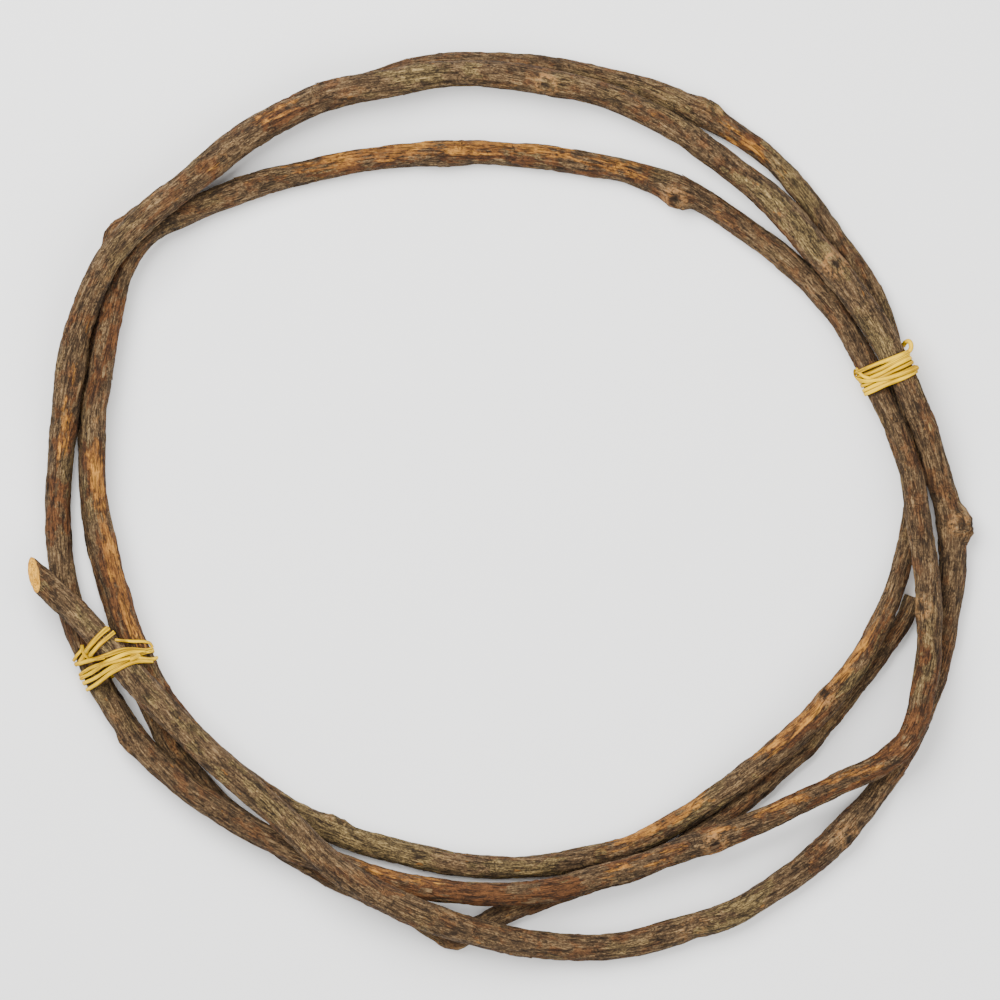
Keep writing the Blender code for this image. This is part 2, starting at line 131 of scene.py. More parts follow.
LAST_HALF_TURN = (
    (86, 390, 7.2, 22), (86, 421, 7.2, 22), (87, 455, 7.2, 22), (88, 485, 7.2, 22),
    (91, 517, 7.2, 22), (97, 551, 7.2, 22), (104, 577, 7.8, 22), (111, 603, 8.8, 22),
    (119, 630, 10.2, 22), (128, 655, 10.8, 22), (142, 691, 9.6, 22), (157, 722, 7.8, 22),
    (169, 744, 7.8, 24), (182, 762, 7.4, 23), (196, 778, 7.2, 22), (221, 805, 7.2, 22),
    (253, 829, 7.2, 22), (285, 851, 7.2, 22), (321, 873, 7.2, 22), (358, 891, 7.2, 22),
    (389, 905, 7.2, 22), (415, 917, 7.4, 23), (437, 930, 8.2, 25), (457, 936, 8.5, 26),
    (480, 927, 7.8, 24), (505, 914, 7.2, 22), (539, 902, 7.2, 22), (572, 890, 7.2, 22),
    (604, 880, 7.2, 22), (636, 871, 7.2, 22), (668, 857, 7.2, 22), (698, 837, 7.2, 22),
    (729, 815, 7.2, 22), (759, 790, 7.2, 22), (788, 763, 7.2, 22), (806, 748, 7.2, 22),
    (821, 730, 7.2, 22), (837, 711, 7.2, 22), (855, 688, 7.2, 22), (874, 665, 7.2, 21),
    (894, 637, 7.0, 20), (906, 618, 6.8, 19), (914, 597, 6.4, 18),
)


class Turn(Enum):
    """Which turn of the cane a feature is on."""

    FIRST = 0
    SECOND = 1
    THIRD = 2
    LAST = 3


TURN_STOPS: dict[Turn, tuple[Stop, ...]] = {
    Turn.FIRST: FIRST_TURN,
    Turn.SECOND: SECOND_TURN,
    Turn.THIRD: THIRD_TURN,
    Turn.LAST: LAST_HALF_TURN,
}


class Look(Enum):
    """How the bark looks along a stretch, and the mesh attribute that carries it."""

    PEELED = "peeled"
    PALE = "pale"
    RUSTY = "rusty"
    # Painted shadow: bark drawn darker where it lies in shade under or between other turns.
    DARK = "dark"


@dataclass(frozen=True)
class Knot:
    """A lump where a side shoot grew.

    The place is in plan steps and millimetres, toward says which way it stands out, and
    rise, reach and hole are millimetres.
    """

    across: float
    down: float
    height: float
    toward: tuple[float, float, float]
    rise: float
    reach: float
    hole: float


@dataclass(frozen=True)
class Stretch:
    """A length of the cane whose bark looks unlike the rest.

    start and end are plan places on the turn. lean is 1 on the side of the coil's middle,
    -1 on the far side and 0 on top. spread is how far round it reaches, as a share of half
    the way round.
    """

    turn: Turn
    look: Look
    start: tuple[float, float]
    end: tuple[float, float]
    lean: float
    spread: float
    strength: float


KNOTS = (
    Knot(214, 168, 25.0, (0.4, 0.3, 0.85), 1.6, 9.0, 0.5),
    Knot(545, 83, 22.6, (0.05, -0.2, 0.97), 1.8, 11.0, 1.2),
    Knot(834, 265, 25.0, (0.0, 0.05, 1.0), 2.6, 13.0, 1.5),
    Knot(960, 523, 10.6, (0.95, -0.1, 0.3), 5.6, 14.0, 1.4),
    Knot(845, 831, 9.3, (0.3, -0.5, 0.8), 2.0, 12.0, 1.2),
    Knot(955, 524, 10.4, (0.35, -0.05, 0.93), 0.6, 11.0, 1.4),
    Knot(926, 607, 26.0, (-0.5, 0.0, 0.85), 1.4, 11.0, 1.6),
    Knot(676, 196, 9.0, (0.0, -0.9, 0.4), 3.0, 12.0, 0.0),
    Knot(675, 190, 9.9, (-0.03, -0.62, 0.78), 0.6, 12.0, 3.2),
    Knot(829, 698, 22.3, (-0.3, 0.45, 0.84), 1.8, 12.0, 2.2),
    Knot(714, 843, 23.6, (0.1, -0.8, 0.6), 1.6, 9.0, 0.0),
    Knot(715, 838.5, 23.6, (0.0, -0.52, 0.85), 0.6, 12.0, 3.2),
    Knot(706, 112, 8.4, (0.5, 0.8, 0.4), 2.0, 12.0, 0.4),
    Knot(114, 231, 8.2, (-0.75, 0.65, 0.2), 2.8, 11.0, 0.2),
    Knot(126, 744, 13.4, (-0.75, -0.65, 0.2), 1.8, 11.0, 0.6),
    Knot(336, 822, 9.0, (0.3, 0.95, 0.2), 2.4, 12.0, 0.4),
    Knot(452, 943, 8.0, (0.0, -1.0, 0.1), 1.8, 12.0, 0.4),
    Knot(178, 750, 7.4, (0.2, 0.2, 0.9), 1.6, 9.0, 0.6),
    Knot(690, 940, 9.2, (0.2, 0.6, 0.7), 1.2, 12.0, 0.5),
)

STRETCHES = (
    Stretch(Turn.SECOND, Look.PEELED, (648, 178), (560, 158), -0.3, 0.26, 0.62),
    Stretch(Turn.SECOND, Look.PEELED, (575, 161), (430, 153), -0.55, 0.24, 0.72),
    Stretch(Turn.SECOND, Look.PEELED, (450, 153), (270, 180), -0.45, 0.26, 0.66),
    Stretch(Turn.THIRD, Look.PEELED, (95, 418), (98, 525), 0.25, 0.22, 0.78),
    Stretch(Turn.THIRD, Look.PEELED, (97, 510), (136, 645), 0.40, 0.20, 0.78),
    Stretch(Turn.THIRD, Look.RUSTY, (136, 645), (198, 742), 0.3, 0.40, 0.8),
    Stretch(Turn.SECOND, Look.PEELED, (345, 866), (430, 889), 0.75, 0.20, 0.72),
    Stretch(Turn.SECOND, Look.RUSTY, (400, 883), (600, 876), 0.3, 0.5, 0.7),
    Stretch(Turn.SECOND, Look.PEELED, (600, 876), (660, 857), 0.1, 0.22, 0.62),
    Stretch(Turn.SECOND, Look.PEELED, (695, 845), (735, 830), 0.35, 0.20, 0.80),
    Stretch(Turn.SECOND, Look.PEELED, (760, 820), (893, 755), 0.3, 0.20, 0.60),
    Stretch(Turn.THIRD, Look.PEELED, (600, 855), (715, 800), 0.7, 0.24, 0.70),
    Stretch(Turn.THIRD, Look.PEELED, (759, 766), (889, 606), 0.7, 0.24, 0.64),
    Stretch(Turn.THIRD, Look.PEELED, (772, 160), (728, 130), 0.32, 0.24, 0.90),
    Stretch(Turn.THIRD, Look.PALE, (818, 208), (776, 162), -0.1, 0.34, 1.00),
    Stretch(Turn.THIRD, Look.PALE, (705, 112), (680, 100), -0.3, 0.34, 0.70),
    Stretch(Turn.FIRST, Look.PEELED, (296, 108), (256, 132), -0.45, 0.14, 0.84),
    Stretch(Turn.FIRST, Look.PEELED, (216, 160), (202, 172), 0.3, 0.10, 0.74),
    Stretch(Turn.FIRST, Look.PEELED, (86, 285), (80, 300), 0.1, 0.10, 0.74),
    Stretch(Turn.FIRST, Look.PEELED, (84, 318), (70, 370), 0.3, 0.16, 0.58),
    Stretch(Turn.SECOND, Look.PEELED, (66, 398), (61, 460), 0.1, 0.12, 0.72),
    Stretch(Turn.SECOND, Look.RUSTY, (61, 450), (59, 560), 0.2, 0.5, 0.6),
    Stretch(Turn.THIRD, Look.RUSTY, (122, 272), (99, 381), 0.3, 0.6, 0.7),
    Stretch(Turn.FIRST, Look.PALE, (850, 290), (745, 180), 0.0, 0.26, 0.74),
    Stretch(Turn.FIRST, Look.PALE, (905, 384), (850, 290), 0.2, 0.34, 0.56),
    Stretch(Turn.FIRST, Look.PALE, (480, 74), (370, 90), 0.0, 0.35, 0.72),
    Stretch(Turn.FIRST, Look.PALE, (690, 928), (783, 884), -0.1, 0.36, 0.80),
    Stretch(Turn.THIRD, Look.PALE, (280, 806), (440, 862), 0.2, 0.5, 0.85),
    Stretch(Turn.THIRD, Look.PALE, (440, 862), (600, 857), -0.5, 0.4, 0.6),
    Stretch(Turn.THIRD, Look.PALE, (600, 855), (760, 766), -0.5, 0.4, 0.56),
    Stretch(Turn.THIRD, Look.PALE, (830, 700), (872, 640), -0.3, 0.36, 0.6),
    Stretch(Turn.FIRST, Look.PALE, (50, 588), (330, 860), 0.2, 0.3, 0.50),
    Stretch(Turn.SECOND, Look.RUSTY, (845, 781), (929, 640), 0.2, 0.5, 0.6),
    # Painted shadow on two stretches that lie in shade under or between other turns.
    Stretch(Turn.FIRST, Look.DARK, (945, 636), (951, 518), -0.5, 0.5, 0.5),
    Stretch(Turn.SECOND, Look.DARK, (205, 204), (136, 246), 0.2, 0.9, 0.7),
)


@dataclass(frozen=True)
class PlanGrid:
    """The grid of small square steps that the coil's plan is drawn on."""

    coil_width: float = 0.600
    steps_across: float = 937.5
    middle: tuple[float, float] = (501.0, 506.0)

    @property
    def step(self) -> float:
        """Give one step in metres."""
        return self.coil_width / self.steps_across

    def place(self, across: float, down: float, height: float) -> np.ndarray:
        """Turn plan steps and a height into a point.

        Args:
            across: steps from the plan's left edge.
            down: steps from its top edge.
            height: millimetres over the table.

        Returns:
            The point in metres.
        """
        x = (across - self.middle[0]) * self.step
        y = (self.middle[1] - down) * self.step
        return np.array((x, y, height * MILLIMETRE))


GRID = PlanGrid()


def smoothly(value: np.ndarray, low: float, high: float) -> np.ndarray:
    """Rise softly from 0 at low to 1 at high.

    Args:
        value: the numbers to read.
        low: where the rise starts.
        high: where it ends, which may be less than low.

    Returns:
        Numbers from 0 to 1.
    """
    share = np.clip((value - low) / (high - low), 0.0, 1.0)
    return share * share * (3.0 - 2.0 * share)


def unit(vectors: np.ndarray) -> np.ndarray:
    """Scale each vector to a length of one."""
    return vectors / np.maximum(np.linalg.norm(vectors, axis=-1, keepdims=True), 1e-12)


class Route:
    """A smooth line through space that has a radius and a length at every point."""

    def __init__(self, stops: np.ndarray) -> None:
        """Run a smooth line through the stops.

        Args:
            stops: rows of x, y, z and radius, in metres.
        """
        padded = np.vstack((2.0 * stops[0] - stops[1], stops, 2.0 * stops[-1] - stops[-2]))
        share = (np.arange(CURVE_SAMPLES) / CURVE_SAMPLES)[:, None]
        spans = []
        for before, start, end, after in zip(padded, padded[1:], padded[2:], padded[3:]):
            bend = 2.0 * before - 5.0 * start + 4.0 * end - after
            twist = 3.0 * start - before - 3.0 * end + after
            steady = 2.0 * start + (end - before) * share
            spans.append(0.5 * (steady + bend * share**2 + twist * share**3))
        fine = np.vstack(spans + [stops[-1:]])
        self.points = fine[:, :3]
        self.radii = fine[:, 3]
        steps = np.linalg.norm(np.diff(self.points, axis=0), axis=1)
        self.lengths = np.concatenate(((0.0,), np.cumsum(steps)))

    @property
    def length(self) -> float:
        """Give the whole length in metres."""
        return float(self.lengths[-1])

    def read(self, along: np.ndarray) -> tuple[np.ndarray, np.ndarray]:
        """Read the line at given lengths from its start.

        Args:
            along: lengths in metres.

        Returns:
            The points and the radii there.
        """
        axes = [np.interp(along, self.lengths, self.points[:, axis]) for axis in range(3)]
        return np.stack(axes, axis=-1), np.interp(along, self.lengths, self.radii)

    def runs(self, along: np.ndarray) -> np.ndarray:
        """Find the way that the line runs.

        Args:
            along: lengths in metres from its start.

        Returns:
            A unit vector for each length.
        """
        ahead, _ = self.read(np.minimum(along + RUN_REACH, self.length))
        behind, _ = self.read(np.maximum(along - RUN_REACH, 0.0))
        return unit(ahead - behind)


class CaneRoute(Route):
    """The cane's middle line, from its thick sawn end to its thin one."""

    def __init__(self) -> None:
        """Join the turns' stops in order."""
        self.first_stop: dict[Turn, int] = {}
        rows = []
        for turn in Turn:
            self.first_stop[turn] = len(rows)
            for across, down, height, thickness in TURN_STOPS[turn]:
                rows.append((*GRID.place(across, down, height), thickness * GRID.step / 2.0))
        super().__init__(np.array(rows))

    def along_at(self, turn: Turn, across: float, down: float) -> float:
        """Find how far along the cane a plan place is.

        Args:
            turn: the turn that the place is on.
            across: the place's plan steps from the left.
            down: its plan steps from the top.

        Returns:
            The length in metres from the thick end to the turn's nearest point.
        """
        start = self.first_stop[turn] * CURVE_SAMPLES
        end = start + len(TURN_STOPS[turn]) * CURVE_SAMPLES
        flat = self.points[start:end, :2] - GRID.place(across, down, 0.0)[:2]
        return float(self.lengths[start + np.argmin(np.linalg.norm(flat, axis=1))])


class Noise:
    """Smooth seeded noise in space, from -1 to 1, that changes over about one unit."""

    TABLE = 256
    STRENGTH = 1.7
    LAYER_SHIFT = 17.3

    def __init__(self, seed: int) -> None:
        """Fill the tables.

        Args:
            seed: the number that the tables are drawn from.
        """
        source = np.random.default_rng(seed)
        self.order = np.tile(source.permutation(self.TABLE), 2)
        self.slopes = unit(source.normal(size=(self.TABLE, 3)))

    def read(self, places: np.ndarray) -> np.ndarray:
        """Read the noise at places.

        Args:
            places: rows of x, y and z.

        Returns:
            One number for each row.
        """
        cell = np.floor(places).astype(int)
        inside = places - cell
        ease = inside**3 * (inside * (inside * 6.0 - 15.0) + 10.0)
        total = np.zeros(len(places))
        for corner in np.ndindex(2, 2, 2):
            x, y, z = ((cell + corner) % self.TABLE).T
            slope = self.slopes[self.order[self.order[self.order[x] + y] + z]]
            weight = np.prod(np.where(np.array(corner) == 1, ease, 1.0 - ease), axis=1)
            total += weight * np.einsum("ij,ij->i", slope, inside - corner)
        return total * self.STRENGTH

    def layers(self, places: np.ndarray, count: int) -> np.ndarray:
        """Add finer and finer layers of the noise, each half as strong as the last.

        Args:
            places: rows of x, y and z.
            count: how many layers there are.

        Returns:
            One number for each row.
        """
        total = np.zeros(len(places))
        for layer in range(count):
            total += self.read(places * 2.0**layer + self.LAYER_SHIFT * layer) * 0.5**layer
        return total

    def drawn(
        self, places: np.ndarray, across: float, along: float, shift: float = 0.0, count: int = 2
    ) -> np.ndarray:
        """Read layered noise on a straightened piece.

        Args:
            places: rows of two places across the piece and one along it.
            across: how many times the noise changes in a metre across it.
            along: how many times it changes in a metre along it.
            shift: how far off this pattern is read, so that two patterns differ.
            count: how many layers there are.

        Returns:
            One number for each row.
        """
        return self.layers(places * (across, across, along) + shift, count)


class Tree:
    """A node tree with short ways to add nodes and to join them."""

    def __init__(self, tree: bpy.types.NodeTree) -> None:
        """Take a node tree to fill."""
        self.tree = tree

    def add(self, kind: str, inputs: dict | None = None, **settings: object) -> bpy.types.Node:
        """Add a node.

        Args:
            kind: the node's type name.
            inputs: its input values or the sockets that feed it, by socket name or number.
            settings: the node's own properties.

        Returns:
            The new node.
        """
        node = self.tree.nodes.new(kind)
        for name, value in settings.items():
            setattr(node, name, value)
        for name, value in (inputs or {}).items():
            self.feed(node, name, value)
        return node

    def feed(self, node: bpy.types.Node, name: str | int, value: object) -> None:
        """Set an input, or join it to a socket.

        Args:
            node: the node.
            name: the input's name or number.
            value: its value, or the socket that feeds it.
        """
        if isinstance(name, str):
            socket = next(one for one in node.inputs if one.name == name and one.enabled)
        else:
            socket = node.inputs[name]
        if isinstance(value, bpy.types.NodeSocket):
            self.tree.links.new(value, socket)
        else:
            socket.default_value = value


class ShaderTree(Tree):
    """A material's tree, round its Principled BSDF."""

    def __init__(self, name: str) -> None:
        """Make the material.

        Args:
            name: the material's name.
        """
        self.material = bpy.data.materials.new(name)
        self.material.use_nodes = True
        super().__init__(self.material.node_tree)
        self.shader = self.tree.nodes["Principled BSDF"]

    def carried(self, name: str) -> Socket:
        """Read a number that the mesh carries."""
        return self.add("ShaderNodeAttribute", attribute_name=name).outputs["Fac"]

    def carried_place(self, name: str) -> Socket:
        """Read a place that the mesh carries."""
        return self.add("ShaderNodeAttribute", attribute_name=name).outputs["Vector"]

    def object_place(self) -> Socket:
        """Read the place on the object."""
        return self.add("ShaderNodeTexCoord").outputs["Object"]

    def scaled(self, place: Socket, scale: tuple[float, float, float]) -> Socket:
        """Scale a place along each axis."""
        return self.add("ShaderNodeMapping", {"Vector": place, "Scale": scale}).outputs[0]

    def noise(
        self, place: Socket, scale: float, detail: float, rough: float, along: float = 1.0
    ) -> Socket:
        """Read layered noise, from 0 to 1.

        Args:
            place: where to read it.
            scale: how many times it changes in a metre.
            detail: how many finer layers it has.
            rough: how strong the finer layers are.
            along: how fast it changes along the piece, next to across.

        Returns:
            The noise value.
        """
        if along != 1.0:
            place = self.scaled(place, (1.0, 1.0, along))
        inputs = {"Vector": place, "Scale": scale, "Detail": detail, "Roughness": rough}
        return self.add("ShaderNodeTexNoise", inputs).outputs[0]

    def cells(self, place: Socket, scale: float, feature: str) -> Socket:
        """Read a pattern of cells: the distance to a cell's edge or to its middle."""
        inputs = {"Vector": place, "Scale": scale}
        return self.add("ShaderNodeTexVoronoi", inputs, feature=feature).outputs["Distance"]

    def maths(self, operation: str, first: object, second: object = 0.0) -> Socket:
        """Work out one sum of two numbers."""
        node = self.add("ShaderNodeMath", {0: first, 1: second}, operation=operation)
        return node.outputs[0]

    def times(self, first: object, second: object) -> Socket:
        """Multiply two numbers."""
        return self.maths("MULTIPLY", first, second)

    def weighed(self, *parts: tuple[Socket, float]) -> Socket:
        """Add numbers up.

        Args:
            parts: each number with its weight.

        Returns:
            The sum of each number times its own weight.
        """
        total: object = 0.0
        for value, weight in parts:
            inputs = {0: value, 1: weight, 2: total}
            total = self.add("ShaderNodeMath", inputs, operation="MULTIPLY_ADD").outputs[0]
        return total

    def torn(self, name: str, ragged: Socket, strength: float) -> Socket:
        """Tear the edges of what the mesh carries.

        Args:
            name: the carried number's name.
            ragged: the noise that tears it.
            strength: how far the noise moves it.

        Returns:
            The number, raised and lowered by the noise.
        """
        tear = self.times(self.maths("SUBTRACT", ragged, 0.5), strength)
        return self.maths("ADD", self.carried(name), tear)

    def near(self, value: Socket, wanted: float, reach: float) -> Socket:
        """Give 1 where a number has the wanted value, falling to 0 at a reach from it."""
        off = self.maths("ABSOLUTE", self.maths("SUBTRACT", value, wanted))
        return self.span(off, 0.0, reach, 1.0, 0.0)

    def span(self, value: Socket, low: float, high: float, start: float, end: float) -> Socket:
        """Carry a number softly from one span into another.

        Args:
            value: the number.
            low: where its own span starts.
            high: where its own span ends.
            start: what low becomes.
            end: what high becomes.

        Returns:
            The number in the span from start to end.
        """
        numbers = {0: value, 1: low, 2: high, 3: start, 4: end}
        node = self.add("ShaderNodeMapRange", numbers, interpolation_type="SMOOTHSTEP")
        return node.outputs[0]

    def rise(self, value: Socket, low: float, high: float, most: float) -> Socket:
        """Rise softly from 0 where a number is low to the most where it is high."""
        return self.span(value, low, high, 0.0, most)

    def ramp(self, value: Socket, stops: tuple[tuple[float, Colour], ...]) -> Socket:
        """Turn a number into a colour.

        Args:
            value: the number.
            stops: numbers, each with its colour, in rising order.

        Returns:
            The colour between the two nearest stops.
        """
        node = self.add("ShaderNodeValToRGB", {0: value})
        while len(node.color_ramp.elements) < len(stops):
            node.color_ramp.elements.new(0.5)
        for element, (position, colour) in zip(node.color_ramp.elements, stops):
            element.position = position
            element.color = colour
        return node.outputs[0]

    def mixed(self, share: object, first: object, second: object, kind: str = "MIX") -> Socket:
        """Mix two colours.

        Args:
            share: how much of the second, from 0 to 1.
            first: a colour or its socket.
            second: a colour or its socket.
            kind: how the second is laid over the first.

        Returns:
            The mixed colour.
        """
        node = self.add("ShaderNodeMix", data_type="RGBA", blend_type=kind)
        self.feed(node, 0, share)
        self.feed(node, 6, first)
        self.feed(node, 7, second)
        return node.outputs[2]

    def finish(
        self, colour: Socket, rough: Socket, height: Socket, relief: float, shine: float = 0.5
    ) -> bpy.types.Material:
        """Join the colour, roughness and bump to the shader.

        Args:
            colour: the surface's colour.
            rough: its roughness.
            height: its fine relief, from 0 to 1.
            relief: how high that relief is, in metres.
            shine: how strongly it mirrors light, where 0.5 is plain plastic.

        Returns:
            The finished material.
        """
        bump = self.add("ShaderNodeBump", {"Height": height, "Distance": relief, "Strength": 1.0})
        self.feed(self.shader, "Base Color", colour)
        self.feed(self.shader, "Roughness", rough)
        self.feed(self.shader, "Specular IOR Level", shine)
        self.feed(self.shader, "Normal", bump.outputs[0])
        return self.material


@dataclass(frozen=True)
class BarkFinish:
    """Dry brown bark with lengthwise fissures and the colours of its stretches, with painted shade in its
    furrows and knots and painted shadow on stretches in shade.
    """

    # Near-black for the cracks, also laid on as painted shade in the furrows and knots and as painted
    # shadow on stretches in shade.
    crack_and_shade: Colour = (0.012, 0.007, 0.004, 1.0)
    deep: Colour = (0.026, 0.015, 0.008, 1.0)
    brown: Colour = (0.062, 0.035, 0.016, 1.0)
    grey: Colour = (0.112, 0.068, 0.032, 1.0)
    light: Colour = (0.262, 0.165, 0.075, 1.0)
    rust_deep: Colour = (0.034, 0.014, 0.007, 1.0)
    rust: Colour = (0.160, 0.064, 0.020, 1.0)
    peeled_deep: Colour = (0.062, 0.023, 0.008, 1.0)
    peeled: Colour = (0.185, 0.074, 0.018, 1.0)
    peeled_light: Colour = (0.480, 0.215, 0.036, 1.0)
    olive_deep: Colour = (0.034, 0.021, 0.010, 1.0)
    olive: Colour = (0.112, 0.076, 0.031, 1.0)
    olive_light: Colour = (0.345, 0.232, 0.088, 1.0)
    fleck: Colour = (0.300, 0.125, 0.024, 1.0)
    collar: Colour = (0.360, 0.180, 0.062, 1.0)
    relief: float = 0.0012
    shine: float = 0.2

    def make(self) -> bpy.types.Material:
        """Build the material, which reads places on the straightened cane.

        Returns:
            The bark material.
        """
        tree = ShaderTree("bark")
        place = tree.carried_place("bark_place")
        fibres = tree.noise(place, scale=900.0, detail=5.0, rough=0.78, along=0.09)
        streaks = tree.noise(place, scale=380.0, detail=4.0, rough=0.62, along=0.12)
        patches = tree.noise(place, scale=95.0, detail=5.0, rough=0.66, along=0.55)
        washes = tree.noise(place, scale=34.0, detail=3.0, rough=0.6, along=0.5)
        grain = tree.noise(place, scale=1500.0, detail=2.0, rough=0.7, along=0.4)
        spots = tree.noise(place, scale=240.0, detail=2.0, rough=0.5, along=0.4)
        lumps = tree.noise(place, scale=420.0, detail=3.0, rough=0.6)
        cracks = self.cracks(tree, place)

        tone = tree.weighed((streaks, 0.24), (fibres, 0.42), (grain, 0.34))
        stops = ((0.41, self.deep), (0.47, self.brown), (0.52, self.grey), (0.59, self.light))
        colour = tree.ramp(tone, stops)
        rusty = tree.ramp(tone, ((0.42, self.rust_deep), (0.57, self.rust)))
        olive = tree.ramp(tone, ((0.43, self.olive_deep), (0.50, self.olive), (0.60, self.olive_light)))
        bare_stops = ((0.40, self.peeled_deep), (0.49, self.peeled), (0.58, self.peeled_light))
        bare = tree.ramp(tree.weighed((patches, 0.45), (tone, 0.55)), bare_stops)
        colour = tree.mixed(tree.rise(patches, 0.49, 0.59, 0.7), colour, rusty)
        colour = tree.mixed(tree.rise(washes, 0.54, 0.66, 0.65), colour, olive)
        colour = self.stretch(tree, colour, Look.RUSTY, patches, rusty)
        colour = self.stretch(tree, colour, Look.PALE, patches, olive)
        ragged = tree.weighed((streaks, 0.5), (patches, 0.5))
        colour = self.stretch(tree, colour, Look.PEELED, ragged, bare)
        colour = tree.mixed(tree.rise(spots, 0.70, 0.74, 0.6), colour, self.fleck)
        collar = tree.times(tree.carried("collar"), tree.rise(lumps, 0.45, 0.54, 0.9))
        colour = tree.mixed(collar, colour, self.collar)
        # Painted shadow on the stretches that lie in shade, and painted shade in the knots' holes and
        # round their rims.
        dark = tree.torn(Look.DARK.value, lumps, 1.6)
        colour = tree.mixed(tree.rise(dark, 0.42, 0.98, 0.84), colour, self.crack_and_shade)
        colour = tree.mixed(tree.times(cracks, 0.85), colour, self.crack_and_shade)
        # Painted shade in the furrows.
        colour = tree.mixed(tree.carried("furrow"), colour, self.crack_and_shade)

        height = tree.weighed((fibres, 0.6), (grain, 0.25), (streaks, 0.6), (cracks, -0.5))
        rough = tree.span(tone, 0.3, 0.7, 0.95, 0.78)
        return tree.finish(colour, rough, height, self.relief, self.shine)

    @staticmethod
    def cracks(tree: ShaderTree, place: Socket) -> Socket:
        """Draw dark hairlines along the bark and a few short cracks across it.

        Args:
            tree: the material's tree.
            place: the places on the straightened cane.

        Returns:
            How dark each point is, from 0 to 1.
        """
        lines = tree.noise(place, scale=520.0, detail=2.0, rough=0.55, along=0.07)
        broken = tree.noise(place, scale=170.0, detail=3.0, rough=0.6)
        breaks = tree.rise(broken, 0.42, 0.56, 1.0)
        hairlines = tree.times(tree.near(lines, 0.5, 0.028), breaks)
        plates = tree.cells(tree.scaled(place, (1.0, 1.0, 0.16)), 260.0, "DISTANCE_TO_EDGE")
        edges = tree.times(tree.span(plates, 0.0, 0.10, 0.9, 0.0), breaks)
        rows = tree.noise(tree.scaled(place, (0.4, 0.4, 1.0)), scale=170.0, detail=2.0, rough=0.6)
        places = tree.noise(place, scale=60.0, detail=3.0, rough=0.6)
        across = tree.times(tree.near(rows, 0.5, 0.014), tree.rise(places, 0.54, 0.60, 1.0))
        return tree.maths("MAXIMUM", tree.maths("MAXIMUM", hairlines, edges), across)

    @staticmethod
    def stretch(tree: ShaderTree, under: Socket, look: Look, ragged: Socket, over: Socket) -> Socket:
        """Lay a stretch's own colour over the bark, with a ragged edge.

        Args:
            tree: the material's tree.
            under: the colour that it covers.
            look: which look the stretch has.
            ragged: the noise that breaks its edge.
            over: the stretch's colour.

        Returns:
            The colour with the stretch on it.
        """
        share = tree.rise(tree.torn(look.value, ragged, 3.0), 0.42, 0.66, 1.0)
        return tree.mixed(share, under, over)


@dataclass(frozen=True)
class SawnFinish:
    """Pale sawn wood, with faint rings, saw marks and a small dark pith."""

    pale: Colour = (0.960, 0.480, 0.034, 1.0)
    deep: Colour = (0.340, 0.140, 0.010, 1.0)
    pith: Colour = (0.290, 0.150, 0.050, 1.0)
    relief: float = 0.0007
    shine: float = 0.15

    def make(self) -> bpy.types.Material:
        """Build the material, which reads how far each point is from the pith.

        Returns:
            The sawn wood material.
        """
        tree = ShaderTree("sawn_wood")
        place = tree.object_place()
        blotches = tree.noise(place, scale=330.0, detail=4.0, rough=0.6)
        sawn = tree.scaled(place, (1.0, 0.15, 1.0))
        saw_marks = tree.noise(sawn, scale=1400.0, detail=2.0, rough=0.5)
        pith = tree.carried("pith")
        ring = tree.maths("SINE", tree.times(pith, 40.0))
        tone = tree.weighed((ring, 0.06), (blotches, 0.6), (saw_marks, 0.4))
        colour = tree.mixed(tree.rise(tone, 0.35, 0.65, 1.0), self.deep, self.pale)
        colour = tree.mixed(tree.span(pith, 0.0, 0.14, 0.8, 0.0), colour, self.pith)
        colour = tree.mixed(tree.rise(pith, 0.9, 1.0, 0.7), colour, self.pith)
        height = tree.maths("ADD", saw_marks, blotches)
        rough = tree.span(blotches, 0.3, 0.7, 0.85, 0.7)
        return tree.finish(colour, rough, height, self.relief, self.shine)


@dataclass(frozen=True)
class RaffiaFinish:
    """Yellow raffia: dry, with fine veins and creases along it, and painted shade in the creases and along
    the strands' edges.
    """

    light: Colour = (0.930, 0.575, 0.005, 1.0)
    deep: Colour = (0.420, 0.215, 0.002, 1.0)
    # Painted shade for the creases and the strands' edges.
    fold_and_edge_shade: Colour = (0.130, 0.060, 0.002, 1.0)
    relief: float = 0.0004
    shine: float = 0.06

    def make(self) -> bpy.types.Material:
        """Build the material, which reads places on the straightened strand.

        Returns:
            The raffia material.
        """
        tree = ShaderTree("raffia")
        place = tree.carried_place("strand_place")
        veins = tree.noise(place, scale=2600.0, detail=3.0, rough=0.6, along=0.03)
        shades = tree.noise(place, scale=170.0, detail=4.0, rough=0.6, along=0.25)
        folds = tree.noise(place, scale=900.0, detail=1.0, rough=0.5, along=0.02)
        tone = tree.weighed((veins, 0.5), (shades, 0.5))
        colour = tree.mixed(tree.rise(tone, 0.36, 0.56, 1.0), self.deep, self.light)
        # Painted shade in the creases.
        colour = tree.mixed(tree.span(folds, 0.34, 0.46, 0.75, 0.0), colour, self.fold_and_edge_shade)
        # Painted shade along the strand's edges.
        colour = tree.mixed(tree.times(tree.carried("edge"), 0.7), colour, self.fold_and_edge_shade)
        height = tree.weighed((veins, 1.0), (folds, 1.2))
        rough = tree.span(shades, 0.3, 0.7, 0.72, 0.55)
        return tree.finish(colour, rough, height, self.relief, self.shine)


